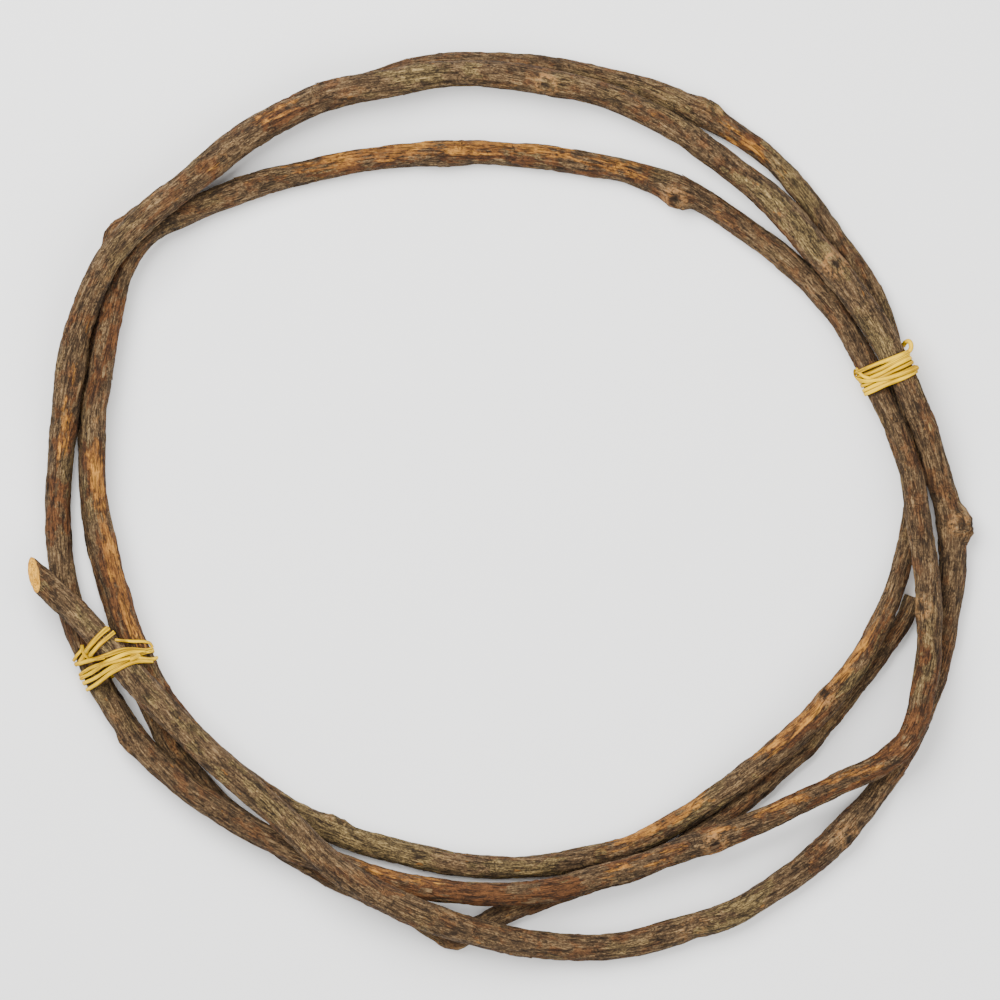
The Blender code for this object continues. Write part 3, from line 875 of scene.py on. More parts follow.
@dataclass(frozen=True)
class ScaleFinish:
    """Loose scales of bark, plainer than the bark below them."""

    deep: Colour = (0.045, 0.025, 0.012, 1.0)
    grey: Colour = (0.100, 0.060, 0.028, 1.0)
    light: Colour = (0.235, 0.150, 0.070, 1.0)
    relief: float = 0.0003
    shine: float = 0.2

    def make(self) -> bpy.types.Material:
        """Build the material, whose tone changes from scale to scale.

        Returns:
            The material of the scales.
        """
        tree = ShaderTree("bark_scale")
        place = tree.object_place()
        tone = tree.noise(place, scale=120.0, detail=4.0, rough=0.6)
        fine = tree.noise(place, scale=1600.0, detail=3.0, rough=0.6)
        colour = tree.ramp(tone, ((0.36, self.deep), (0.52, self.grey), (0.70, self.light)))
        colour = tree.mixed(tree.span(fine, 0.35, 0.65, 0.45, 0.0), colour, self.deep)
        rough = tree.span(fine, 0.3, 0.7, 0.95, 0.8)
        return tree.finish(colour, rough, fine, self.relief, self.shine)


@dataclass(frozen=True)
class FloorFinish:
    """A plain pale floor with the faintest mottle."""

    pale: Colour = (0.93, 0.93, 0.925, 1.0)
    shade: Colour = (0.90, 0.90, 0.895, 1.0)
    relief: float = 0.00005

    def make(self) -> bpy.types.Material:
        """Build the floor's material.

        Returns:
            The floor's material.
        """
        tree = ShaderTree("pale_floor")
        mottle = tree.noise(tree.object_place(), scale=14.0, detail=3.0, rough=0.5)
        colour = tree.mixed(mottle, self.pale, self.shade)
        return tree.finish(colour, tree.span(mottle, 0.0, 1.0, 0.75, 0.85), mottle, self.relief)


def linked(name: str, data: bpy.types.ID) -> bpy.types.Object:
    """Put data into the scene.

    Args:
        name: the new object's name.
        data: its mesh, light or camera.

    Returns:
        The new object, at the origin.
    """
    result = bpy.data.objects.new(name, data)
    bpy.context.scene.collection.objects.link(result)
    return result


def mesh_of(work: bmesh.types.BMesh, name: str) -> bpy.types.Mesh:
    """End the work on a mesh.

    Args:
        work: the mesh being worked on, which is freed.
        name: the new mesh's name.

    Returns:
        The new mesh.
    """
    mesh = bpy.data.meshes.new(name)
    work.to_mesh(mesh)
    work.free()
    return mesh


class GeometryTree(Tree):
    """A geometry node tree with named inputs that makes a piece from a base mesh."""

    KINDS = {float: "NodeSocketFloat", int: "NodeSocketInt", bpy.types.Object: "NodeSocketObject"}

    def __init__(self, name: str, inputs: dict[str, type]) -> None:
        """Make the tree with its sockets.

        Args:
            name: the tree's name.
            inputs: the kind of each named input, besides the base mesh and the material.
        """
        group = bpy.data.node_groups.new(name, "GeometryNodeTree")
        super().__init__(group)
        face = group.interface
        face.new_socket("Base", in_out="INPUT", socket_type="NodeSocketGeometry")
        for label, kind in inputs.items():
            face.new_socket(label, in_out="INPUT", socket_type=self.KINDS[kind])
        face.new_socket("Material", in_out="INPUT", socket_type="NodeSocketMaterial")
        face.new_socket("Result", in_out="OUTPUT", socket_type="NodeSocketGeometry")
        self.given = group.nodes.new("NodeGroupInput").outputs

    def named(self, name: str, kind: str) -> Socket:
        """Read an attribute of the base mesh."""
        node = self.add("GeometryNodeInputNamedAttribute", {"Name": name}, data_type=kind)
        return node.outputs[0]

    def close(self, result: Socket) -> None:
        """End the tree: make instances real and set the material.

        Args:
            result: the geometry made so far.
        """
        real = self.add("GeometryNodeRealizeInstances", {"Geometry": result}).outputs[0]
        inputs = {"Geometry": real, "Material": self.given["Material"]}
        dressed = self.add("GeometryNodeSetMaterial", inputs).outputs[0]
        self.add("NodeGroupOutput", {0: dressed})

    def run(self, base: bpy.types.Object, name: str, values: dict[str, object]) -> bpy.types.Object:
        """Run the tree on a base object and keep the result as a plain mesh.

        Args:
            base: the object that the tree starts from, which is removed afterwards.
            name: the new object's name.
            values: the value of each named input.

        Returns:
            A new object at the origin, with no modifier.
        """
        modifier = base.modifiers.new("tree", "NODES")
        modifier.node_group = self.tree
        for item in self.tree.interface.items_tree:
            if item.in_out == "INPUT" and item.name in values:
                modifier[item.identifier] = values[item.name]
        graph = bpy.context.evaluated_depsgraph_get()
        mesh = bpy.data.meshes.new_from_object(base.evaluated_get(graph))
        base.modifiers.remove(modifier)
        bpy.data.objects.remove(base)
        mesh.name = name
        return linked(name, mesh)


class SweepTree(GeometryTree):
    """Sweeps an oval section along a line of vertices.

    The line carries thickness, the section's half size, and outward, the way that its
    thin side faces. Every other attribute of the line comes through to the swept mesh.
    """

    def __init__(self) -> None:
        """Build the tree."""
        super().__init__("sweep", {"Sides": int, "Broad": float, "Thin": float})
        line = self.add("GeometryNodeMeshToCurve", {"Mesh": self.given["Base"]}).outputs[0]
        outward = self.named("outward", "FLOAT_VECTOR")
        facing = self.add("GeometryNodeSetCurveNormal", {"Curve": line}, mode="FREE")
        self.feed(facing, "Normal", outward)
        circle = self.add("GeometryNodeCurvePrimitiveCircle", {"Resolution": self.given["Sides"]})
        size = self.add("ShaderNodeCombineXYZ", {0: self.given["Thin"], 1: self.given["Broad"], 2: 1.0})
        oval = self.add("GeometryNodeTransform", {"Geometry": circle.outputs[0], "Scale": size.outputs[0]})
        inputs = {"Curve": facing.outputs[0], "Profile Curve": oval.outputs[0], "Fill Caps": True}
        swept = self.add("GeometryNodeCurveToMesh", inputs)
        self.feed(swept, "Scale", self.named("thickness", "FLOAT"))
        smooth = self.add("GeometryNodeSetShadeSmooth", {"Geometry": swept.outputs[0]})
        self.close(smooth.outputs[0])


class ScatterTree(GeometryTree):
    """Scatters copies of a small object over a surface, turned along the surface's run."""

    def __init__(self) -> None:
        """Build the tree."""
        kinds = {"Scale piece": bpy.types.Object, "Density": float, "Smallest": float}
        super().__init__("scatter", kinds | {"Largest": float, "Seed": int})
        density = self.add("ShaderNodeMath", operation="MULTIPLY")
        self.feed(density, 0, self.named("flaky", "FLOAT"))
        self.feed(density, 1, self.given["Density"])
        inputs = {"Mesh": self.given["Base"], "Density": density.outputs[0], "Seed": self.given["Seed"]}
        points = self.add("GeometryNodeDistributePointsOnFaces", inputs)
        run = self.named("run", "FLOAT_VECTOR")
        axes = {"Primary Axis": points.outputs["Normal"], "Secondary Axis": run}
        turned = self.add("FunctionNodeAxesToRotation", axes, primary_axis="Z", secondary_axis="X")
        bounds = {"Min": self.given["Smallest"], "Max": self.given["Largest"], "Seed": self.given["Seed"]}
        size = self.add("FunctionNodeRandomValue", bounds, data_type="FLOAT")
        shape = self.add("GeometryNodeObjectInfo", {"Object": self.given["Scale piece"]})
        inputs = {"Points": points.outputs["Points"], "Instance": shape.outputs["Geometry"]}
        copies = self.add("GeometryNodeInstanceOnPoints", inputs | {"Rotation": turned.outputs[0]})
        self.feed(copies, "Scale", size.outputs["Value"])
        self.close(copies.outputs[0])


def line_object(name: str, points: np.ndarray, carried: dict[str, np.ndarray]) -> bpy.types.Object:
    """Make an object of vertices joined in a line.

    Args:
        name: the object's name.
        points: the vertices in order.
        carried: attributes, each with one number or one vector for a vertex.

    Returns:
        The object, linked to the scene.
    """
    mesh = bpy.data.meshes.new(name)
    edges = [(i, i + 1) for i in range(len(points) - 1)]
    mesh.from_pydata(points.tolist(), edges, [])
    for label, values in carried.items():
        keep(mesh, label, values)
    return linked(name, mesh)


def keep(mesh: bpy.types.Mesh, name: str, values: np.ndarray) -> None:
    """Store something for each vertex.

    Args:
        mesh: the mesh that carries it.
        name: its name, where position is the vertices' own place.
        values: a number or a vector for each vertex.
    """
    kind, field = ("FLOAT_VECTOR", "vector") if values.ndim == 2 else ("FLOAT", "value")
    attribute = mesh.attributes.get(name) or mesh.attributes.new(name, kind, "POINT")
    attribute.data.foreach_set(field, values.astype(np.float32).ravel())


def kept(mesh: bpy.types.Mesh, name: str) -> np.ndarray:
    """Read back what keep stored.

    Args:
        mesh: the mesh that carries it.
        name: its name, where position is the vertices' own place.

    Returns:
        A number or a vector for each vertex.
    """
    attribute = mesh.attributes[name]
    wide = 3 if attribute.data_type == "FLOAT_VECTOR" else 1
    values = np.zeros(len(mesh.vertices) * wide, np.float32)
    attribute.data.foreach_get("vector" if wide == 3 else "value", values)
    return values.astype(float).reshape(-1, 3) if wide == 3 else values.astype(float)


@dataclass
class VineCane:
    """The cane: swept along its route, then given bark, knots and two sawn ends."""

    route: CaneRoute
    sides: int = 46
    ring_spacing: float = 0.0029
    straight_radius: float = 0.0085
    bark_twist: float = 5.0
    cut_facing: tuple[float, float, float] = (-0.894, 0.023, 0.447)
    cut_reach: float = 0.034
    cut_rings: int = 7
    furrow_depth: float = 0.00075
    furrow_shade: float = 0.42
    plate_step: float = 0.00040
    swell: float = 0.00075
    peel_depth: float = 0.00040
    crumb: float = 0.00022
    stretch_fade: float = 0.035
    rusty_rim: float = 0.22
    knot_round: float = 1.3
    hole_share: float = 0.22
    hole_shade: float = 1.2
    ripple_height: float = 0.22
    ripple_waves: float = 17.0
    rim_reach: float = 9.0
    rim_shade: float = 0.35
    collar_share: float = 0.52
    collar_width: float = 0.16
    strand_gap: float = 0.00015
    strand_spacing: float = 0.003
    own_reach: float = 0.06
    press_limit: float = 0.002
    seed: int = 41

    def build(
        self, sweep: SweepTree, bark: bpy.types.Material, sawn: bpy.types.Material
    ) -> bpy.types.Object:
        """Make the dressed cane.

        Args:
            sweep: the tree that sweeps it.
            bark: the bark's material.
            sawn: the sawn ends' material.

        Returns:
            The finished piece.
        """
        rings = max(2, round(self.route.length / self.ring_spacing))
        along = np.linspace(0.0, self.route.length, rings + 1)
        points, radii = self.route.read(along)
        runs = self.route.runs(along)
        side = unit(np.cross(runs, UP))
        carried = {"thickness": radii, "outward": np.cross(side, runs), "along": along, "middle": points}
        line = line_object("cane_line", points, carried)
        values = {"Sides": self.sides, "Broad": 1.0, "Thin": 1.0, "Material": bark}
        piece = sweep.run(line, "vine_bark", values)
        self.shape(piece.data)
        self.saw_ends(piece.data)
        piece.data.materials.append(sawn)
        return piece

    def shape(self, mesh: bpy.types.Mesh) -> None:
        """Give the swept tube its slanted end, its bark's relief and what the bark carries.

        Args:
            mesh: the tube, which is changed.
        """
        noise = Noise(self.seed)
        along = kept(mesh, "along")
        middle = kept(mesh, "middle")
        places = kept(mesh, "position")
        outward = unit(places - middle)
        runs = self.route.runs(along)
        slide = self.slide_to_cut(places, along)
        places += runs * slide[:, None]
        along = along + slide
        bark_place = self.straightened(outward, runs, along)

        looks = {look: self.look_mask(look, along, outward, middle) for look in Look}
        torn = looks[Look.PEELED] + 0.5 * noise.drawn(bark_place, across=260.0, along=40.0)
        bare = smoothly(torn, 0.42, 0.58)
        furrow = self.furrows(noise, bark_place) * (1.0 - 0.75 * bare)
        plates = noise.drawn(bark_place, across=190.0, along=48.0, shift=7.0)
        ledges = smoothly(plates, -0.06, 0.04) - 0.5
        lumps = noise.drawn(bark_place, across=55.0, along=22.0, shift=31.0)
        crumbs = noise.drawn(bark_place, across=620.0, along=230.0, count=1)
        relief = self.swell * (lumps - 0.35)
        relief += self.plate_step * ledges * (1.0 - 0.7 * bare)
        relief += self.crumb * crumbs * (1.0 - 0.6 * bare)
        relief -= self.furrow_depth * furrow + self.peel_depth * bare
        places += outward * relief[:, None]
        # dark is painted shade in the knots' holes and round their rims; it joins the painted shadow of
        # the stretches in shade.
        dark, collar = self.raise_knots(places)
        looks[Look.DARK] = looks[Look.DARK] + dark
        self.part_strands(places, middle, along)

        keep(mesh, "position", places)
        keep(mesh, "bark_place", bark_place)
        keep(mesh, "run", runs)
        # The furrows' painted shade: how much darker each point is drawn in a furrow.
        keep(mesh, "furrow", np.clip(furrow * self.furrow_shade, 0.0, 1.0))
        keep(mesh, "collar", np.clip(collar, 0.0, 1.0))
        for look, share in looks.items():
            keep(mesh, look.value, np.clip(share, 0.0, 1.0))
        keep(mesh, "flaky", (1.0 - bare) * smoothly(lumps, -0.1, 0.5) * (outward[:, 2] > -0.3))
        mesh.update()

    def straightened(self, outward: np.ndarray, runs: np.ndarray, along: np.ndarray) -> np.ndarray:
        """Place each point on the cane as if it were straight and evenly thick.

        Args:
            outward: the way that the surface faces at each point.
            runs: the way that the cane runs there.
            along: how far along the cane each point is.

        Returns:
            Rows of two places across the straight cane and one along it, in metres.
        """
        sideways = unit(np.cross(runs, UP))
        angle = np.arctan2(outward @ UP, np.einsum("ij,ij->i", outward, sideways))
        angle = angle + self.bark_twist * along
        ring = self.straight_radius * np.stack((np.cos(angle), np.sin(angle)), axis=1)
        return np.column_stack((ring, along))

    def slide_to_cut(self, places: np.ndarray, along: np.ndarray) -> np.ndarray:
        """Find how far each point near the thick end slides along to meet the sawn plane.

        Args:
            places: the points.
            along: how far along the cane each is.

        Returns:
            The slide along the cane's run, in metres.
        """
        end, _ = self.route.read(np.array(0.0))
        run = self.route.runs(np.array((0.0,)))[0]
        facing = unit(np.array(self.cut_facing))
        off = (places - end) @ facing - along * (run @ facing)
        share = 1.0 - smoothly(along, 0.0, self.cut_reach)
        return -off / (run @ facing) * share * (along < self.cut_reach)

    @staticmethod
    def furrows(noise: Noise, places: np.ndarray) -> np.ndarray:
        """Give the depth of the bark's furrows.

        They follow the level lines of noise drawn out along the cane, which close into
        long scales, with a few short cracks across.

        Args:
            noise: the noise to read.
            places: the points on the straightened cane.

        Returns:
            Numbers from 0 to 1.
        """
        long = noise.drawn(places, across=300.0, along=24.0)
        fine = noise.drawn(places, across=620.0, along=52.0, shift=11.0)
        across = noise.drawn(places, across=120.0, along=210.0, shift=23.0)
        some = noise.drawn(places, across=150.0, along=30.0, shift=41.0, count=1)
        deep = np.exp(-((long / 0.11) ** 2))
        thin = 0.55 * np.exp(-((fine / 0.13) ** 2))
        cross = 0.8 * np.exp(-((across / 0.07) ** 2)) * smoothly(some, 0.05, 0.35)
        return np.clip(np.maximum(np.maximum(deep, thin), cross), 0.0, 1.0)

    def look_mask(
        self, look: Look, along: np.ndarray, outward: np.ndarray, middle: np.ndarray
    ) -> np.ndarray:
        """Say how much of a look each point has.

        Args:
            look: the look asked for.
            along: how far along the cane each point is.
            outward: the way that the surface faces there.
            middle: the middle of the cane there.

        Returns:
            Numbers from 0 to 1.
        """
        total = np.zeros(len(along))
        inward = unit(-middle * (1.0, 1.0, 0.0))
        fade = self.stretch_fade
        for one in STRETCHES:
            rim = self.rusty_rim if look is Look.RUSTY and one.look is Look.PEELED else 0.0
            if one.look is not look and not rim:
                continue
            start = self.route.along_at(one.turn, *one.start)
            end = self.route.along_at(one.turn, *one.end)
            inside = smoothly(along, start - fade, start + fade)
            inside *= smoothly(along, end + fade, end - fade)
            aim = unit(inward * one.lean + UP * (1.0 - abs(one.lean) * 0.5))
            turn = np.arccos(np.clip(np.einsum("ij,ij->i", aim, outward), -1.0, 1.0)) / math.pi
            facing = smoothly(turn, one.spread + rim + 0.20, one.spread + rim - 0.12)
            total = np.maximum(total, inside * facing * one.strength)
        return total

    def raise_knots(self, places: np.ndarray) -> tuple[np.ndarray, np.ndarray]:
        """Push the bark out at the knots, with a hole in most of them, and paint shade into the holes and
        round their rims.

        Args:
            places: the points, which are moved.

        Returns:
            How much painted shade each point has, and how much of a knot's pale collar it has.
        """
        dark = np.zeros(len(places))
        collar = np.zeros(len(places))
        for knot in KNOTS:
            toward = unit(np.array(knot.toward))
            away = places - GRID.place(knot.across, knot.down, knot.height)
            side = away @ toward
            reach = knot.reach * MILLIMETRE
            flat = np.linalg.norm(away - side[:, None] * toward, axis=1) / reach
            near = (side > 0.0) & (flat < 1.0) & (side < 2.0 * reach)
            fall = np.where(near, np.maximum(1.0 - flat**2, 0.0) ** self.knot_round, 0.0)
            waves = self.ripple_height * np.cos(flat * self.ripple_waves) * (1.0 - flat)
            ripple = np.where(near, waves, 0.0)
            hole = np.where(near, np.exp(-((flat / self.hole_share) ** 2)), 0.0)
            lift = (knot.rise * (fall + ripple) - knot.hole * hole) * MILLIMETRE
            places += toward * lift[:, None]
            openness = min(1.0, knot.hole)
            # Painted shade: darker in the knot's hole and in the troughs of the ripples round it.
            rim = self.rim_shade * np.clip(-ripple * self.rim_reach, 0.0, 1.0)
            dark += hole * openness * self.hole_shade + rim
            band = np.exp(-(((flat - self.collar_share) / self.collar_width) ** 2))
            collar += np.where(near, band * openness, 0.0)
        return dark, collar

    def part_strands(self, places: np.ndarray, middle: np.ndarray, along: np.ndarray) -> None:
        """Press the bark in where it would reach into another strand of the coil.

        Args:
            places: the points, which are moved.
            middle: the middle of the cane at each.
            along: how far along the cane each is.
        """
        marks = np.arange(0.0, self.route.length, self.strand_spacing)
        points, radii = self.route.read(marks)
        finder = KDTree(len(points))
        for i, point in enumerate(points):
            finder.insert(point, i)
        finder.balance()
        widest = float(radii.max()) + self.press_limit
        for i, place in enumerate(places):
            worst = 0.0
            for _, mark, distance in finder.find_range(place, widest):
                if abs(marks[mark] - along[i]) > self.own_reach:
                    worst = max(worst, radii[mark] + self.strand_gap - distance)
            if worst > 0.0:
                places[i] -= unit(places[i] - middle[i]) * min(worst, self.press_limit)

    def saw_ends(self, mesh: bpy.types.Mesh) -> None:
        """Replace the cap at each end with rings of faces down to the pith.

        Args:
            mesh: the cane, which is changed.
        """
        work = bmesh.new()
        work.from_mesh(mesh)
        pith = work.verts.layers.float.new("pith")
        corners = 4
        caps = [face for face in work.faces if len(face.verts) > corners]
        for cap in caps:
            rim = list(cap.verts)
            middle = sum((vertex.co for vertex in rim), Vector()) / len(rim)
            bmesh.ops.delete(work, geom=[cap], context="FACES_ONLY")
            outer = rim
            for vertex in rim:
                vertex[pith] = 1.0
            for ring in range(1, self.cut_rings):
                share = 1.0 - ring / self.cut_rings
                inner = [work.verts.new(middle + (vertex.co - middle) * share) for vertex in rim]
                for vertex in inner:
                    vertex[pith] = share
                self.bridge(work, outer, inner)
                outer = inner
            tip = work.verts.new(middle)
            for first, second in zip(outer, outer[1:] + outer[:1]):
                work.faces.new((first, second, tip)).material_index = 1
        work.to_mesh(mesh)
        work.free()

    @staticmethod
    def bridge(work: bmesh.types.BMesh, outer: list, inner: list) -> None:
        """Join two rings of vertices with faces of sawn wood.

        Args:
            work: the mesh being worked on.
            outer: the outer ring, in order.
            inner: the inner ring, in the same order.
        """
        count = len(outer)
        for i in range(count):
            after = (i + 1) % count
            face = work.faces.new((outer[i], outer[after], inner[after], inner[i]))
            face.material_index = 1


@dataclass
class BarkScales:
    """Loose scales of bark that lift off the cane."""

    long: float = 0.0085
    broad: float = 0.0017
    thick: float = 0.00024
    lift: float = 0.00045
    blunt: float = 0.35
    arch: float = 0.10
    sunk: float = 0.4
    smallest: float = 0.45
    largest: float = 1.15
    sort_way: tuple[float, float, float] = (1.0, 0.31, 0.17)
    density: float = 6000.0
    seed: int = 7

    def build(self, cane: bpy.types.Object, material: bpy.types.Material) -> bpy.types.Object:
        """Scatter the scales over the cane.

        Args:
            cane: the finished cane.
            material: the scales' material.

        Returns:
            The scales as one piece.
        """
        scale = self.one_scale()
        base = linked("scale_base", cane.data.copy())
        values = {
            "Scale piece": scale,
            "Density": self.density,
            "Smallest": self.smallest,
            "Largest": self.largest,
            "Seed": self.seed,
            "Material": material,
        }
        piece = ScatterTree().run(base, "bark_scales", values)
        bpy.data.objects.remove(scale)
        return piece

    def one_scale(self) -> bpy.types.Object:
        """Make one scale: a thin pointed leaf, arched over the cane, lifted at one end.

        Returns:
            The scale, with its middle at the origin.
        """
        work = bmesh.new()
        bmesh.ops.create_grid(work, x_segments=5, y_segments=2, size=0.5)
        for vertex in work.verts:
            share = vertex.co.x + 0.5
            wide = self.blunt + (1.0 - self.blunt) * math.sin(math.pi * (0.15 + 0.7 * share))
            x = vertex.co.x * self.long
            y = vertex.co.y * self.broad * wide
            arch = -((vertex.co.y * 2.0) ** 2) * self.broad * self.arch
            vertex.co = (x, y, arch + self.lift * share**2 - self.thick * self.sunk)
        top = bmesh.ops.extrude_face_region(work, geom=list(work.faces))
        for one in top["geom"]:
            if isinstance(one, bmesh.types.BMVert):
                one.co.z += self.thick
        bmesh.ops.recalc_face_normals(work, faces=work.faces)
        # The extrusion leaves its points and faces in no fixed order.
        way = Vector(self.sort_way)
        work.verts.sort(key=lambda vertex: vertex.co.dot(way))
        work.faces.sort(key=lambda face: face.calc_center_median().dot(way))
        return linked("one_scale", mesh_of(work, "one_scale"))


@dataclass(frozen=True)
class Pass:
    """One pass of the raffia over the top of the bundle.

    offsets say how far along the bundle it lies, in plan steps, at even shares of the way
    across. layer counts the strands that it lies on.
    """

    offsets: tuple[float, ...]
    layer: float


@dataclass(frozen=True)
class Tail:
    """A loose strand that lies on the tie: plan places, each with its lift in millimetres."""

    places: tuple[tuple[float, float, float], ...]
    width: float


@dataclass
class RaffiaTie:
    """Raffia wound tightly round the bundle of cane, with its loose ends."""

    name: str
    node: str
    middle: tuple[float, float, float]
    bundle_run: tuple[float, float, float]
    passes: tuple[Pass, ...]
    tails: tuple[Tail, ...]
    route: CaneRoute
    half_width: float = 0.00138
    flat: float = 0.56
    seat: float = 0.00010
    reach: float = 0.075
    stops_a_turn: int = 56
    sides: int = 14
    bundle_spacing: float = 0.002
    tail_spacing: float = 0.0008
    lean: float = 0.35
    width_change: float = 0.16
    fold_radius: float = 0.0015
    fold_depth: float = 0.22
    seed: int = 3
    centre: np.ndarray = field(init=False)
    along: np.ndarray = field(init=False)
    sideways: np.ndarray = field(init=False)
    points: np.ndarray = field(init=False)
    radii: np.ndarray = field(init=False)

    def __post_init__(self) -> None:
        """Find the part of the cane that the tie goes round."""
        points, radii = self.route.read(np.arange(0.0, self.route.length, self.bundle_spacing))
        self.centre = GRID.place(*self.middle)
        self.along = unit(np.array(self.bundle_run))
        self.sideways = np.cross(self.along, UP)
        near = np.linalg.norm(points - self.centre, axis=1) < self.reach
        self.points = points[near]
        self.radii = radii[near]

    def build(self, sweep: SweepTree, material: bpy.types.Material) -> bpy.types.Object:
        """Make the tie.

        Args:
            sweep: the tree that sweeps its strands.
            material: the raffia's material.

        Returns:
            The tie as one piece.
        """
        strands = [self.strand(sweep, material, *self.winding(), self.half_width)]
        for tail in self.tails:
            strands.append(self.strand(sweep, material, *self.lying(tail), tail.width))
        return joined(self.name, strands)

    def section(self, offset: float, proud: float) -> tuple[np.ndarray, np.ndarray]:
        """Find the taut outline round the bundle in the plane at an offset.

        Args:
            offset: how far along the bundle the plane is, in metres.
            proud: how far outside the bark the outline runs.

        Returns:
            Points evenly spaced round the outline, and the way out at each.
        """
        centre = self.centre + self.along * offset
        away = self.points - centre
        off = away @ self.along
        wide = np.sqrt(np.maximum((self.radii + proud) ** 2 - off**2, 0.0))
        flat = np.stack((away @ self.sideways, away @ UP), axis=1)
        flat, wide = flat[wide > 0.0], wide[wide > 0.0]
        angles = np.linspace(0.0, 2.0 * math.pi, 181)
        aims = np.stack((np.cos(angles), np.sin(angles)), axis=1)
        reaches = flat @ aims.T + wide[:, None]
        best = np.argmax(reaches, axis=0)
        outline = flat[best] + aims * wide[best][:, None]
        lengths = np.concatenate(((0.0,), np.cumsum(np.linalg.norm(np.diff(outline, axis=0), axis=1))))
        even = np.linspace(0.0, lengths[-1], self.stops_a_turn + 1)
        two = [np.interp(even, lengths, outline[:, axis]) for axis in range(2)]
        out = [np.interp(even, lengths, aims[:, axis]) for axis in range(2)]
        spots = centre + np.outer(two[0], self.sideways) + np.outer(two[1], UP)
        return spots, unit(np.outer(out[0], self.sideways) + np.outer(out[1], UP))

    def winding(self) -> tuple[np.ndarray, np.ndarray]:
        """Follow the strand round the bundle, pass after pass.

        Returns:
            The strand's points and the way out at each.
        """
        shares, offsets, layers = [], [], []
        for turn, one in enumerate(self.passes):
            for i, offset in enumerate(one.offsets):
                shares.append(turn + 0.5 * i / (len(one.offsets) - 1))
                offsets.append(offset * GRID.step)
                layers.append(one.layer)
        steps = np.linspace(shares[0], shares[-1], self.stops_a_turn * len(self.passes))
        offset_at = np.interp(steps, shares, offsets)
        layer_at = np.interp(steps, shares, layers)
        soft = np.hanning(9)
        offset_at = softened(offset_at, soft)
        layer_at = softened(layer_at, soft)
        points, outs = [], []
        thick = self.half_width * self.flat
        for step, offset, layer in zip(steps, offset_at, layer_at):
            proud = self.seat + thick * (1.0 + 2.0 * layer)
            spots, ways = self.section(offset, proud)
            place = (step % 1.0) * self.stops_a_turn
            low = int(place)
            share = place - low
            points.append(spots[low] * (1.0 - share) + spots[low + 1] * share)
            outs.append(ways[low] * (1.0 - share) + ways[low + 1] * share)
        return np.array(points), unit(np.array(outs))

    def top_at(self, flat: np.ndarray) -> float:
        """Find the top of the bundle.

        Args:
            flat: a plan place, in metres.

        Returns:
            The height over it, or nan where the bundle isn't there.
        """
        near = np.linalg.norm(self.points[:, :2] - flat, axis=1)
        touching = near < self.radii
        if not touching.any():
            return math.nan
        tops = self.points[touching, 2] + np.sqrt(self.radii[touching] ** 2 - near[touching] ** 2)
        return float(tops.max())

    def lying(self, tail: Tail) -> tuple[np.ndarray, np.ndarray]:
        """Lay a tail over the bundle.

        Args:
            tail: the tail's plan places and lifts.

        Returns:
            The tail's points and the way out at each.
        """
        rows = [(*GRID.place(*one), tail.width) for one in tail.places]
        line = Route(np.array(rows))
        count = max(8, round(line.length / self.tail_spacing))
        points, _ = line.read(np.linspace(0.0, line.length, count))
        tops = np.array([self.top_at(point[:2]) for point in points])
        found = ~np.isnan(tops)
        if found.any():
            tops = np.interp(np.arange(count), np.flatnonzero(found), tops[found])
        else:
            tops = np.full(count, self.centre[2])
        reach = 3
        padded = np.pad(tops, reach, mode="edge")
        taut = np.array([padded[i : i + 2 * reach + 1].max() for i in range(count)])
        points[:, 2] += softened(taut, np.hanning(2 * reach + 3)[1:-1])
        runs = unit(np.gradient(points, axis=0))
        return points, np.cross(unit(np.cross(runs, UP)), runs)

    def strand(
        self,
        sweep: SweepTree,
        material: bpy.types.Material,
        points: np.ndarray,
        outs: np.ndarray,
        half_width: float,
    ) -> bpy.types.Object:
        """Sweep one strand and give it its folds.

        Args:
            sweep: the tree that sweeps it.
            material: the raffia's material.
            points: the strand's points.
            outs: the way out at each.
            half_width: half the strand's width.

        Returns:
            The strand as a plain mesh.
        """
        noise = Noise(self.seed + len(points))
        steps = np.linalg.norm(np.diff(points, axis=0), axis=1)
        along = np.concatenate(((0.0,), np.cumsum(steps)))
        wander = noise.layers(np.column_stack((along * 70.0, along * 0.0, along * 0.0)), 2)
        runs = unit(np.gradient(points, axis=0))
        leaning = unit(outs + np.cross(runs, outs) * (self.lean * wander)[:, None])
        changes = noise.read(np.column_stack((along * 90.0, along, along)) + 5.0)
        width = half_width * (1.0 + self.width_change * changes)
        carried = {"thickness": width, "outward": leaning, "along": along, "middle": points}
        line = line_object("strand_line", points, carried)
        values = {"Sides": self.sides, "Broad": 1.0, "Thin": self.flat, "Material": material}
        piece = sweep.run(line, "strand", values)
        self.fold_and_edge_shade(piece.data, noise)
        return piece

    def fold_and_edge_shade(self, mesh: bpy.types.Mesh, noise: Noise) -> None:
        """Press lengthwise folds into a strand and store its straightened places and how much painted
        shade its edges get.

        Args:
            mesh: the strand, which is changed.
            noise: the noise that the folds follow.
        """
        places = kept(mesh, "position")
        middle = kept(mesh, "middle")
        along = kept(mesh, "along")
        facing = kept(mesh, "outward")
        away = places - middle
        height = np.einsum("ij,ij->i", unit(away), unit(facing))
        angle = np.arccos(np.clip(height, -1.0, 1.0))
        ring = self.fold_radius * np.stack((np.cos(angle), np.sin(angle)), axis=1)
        lined = np.column_stack((ring, along))
        ribs = noise.drawn(lined, across=1700.0, along=18.0, count=1)
        keep(mesh, "position", places + away * (self.fold_depth * ribs)[:, None])
        keep(mesh, "strand_place", lined)
        # Painted shade: 1 along the strand's edges, falling to 0 on its flat faces.
        keep(mesh, "edge", smoothly(np.abs(height) * self.flat - np.abs(ribs) * 0.1, 0.30, 0.05))
        mesh.update()


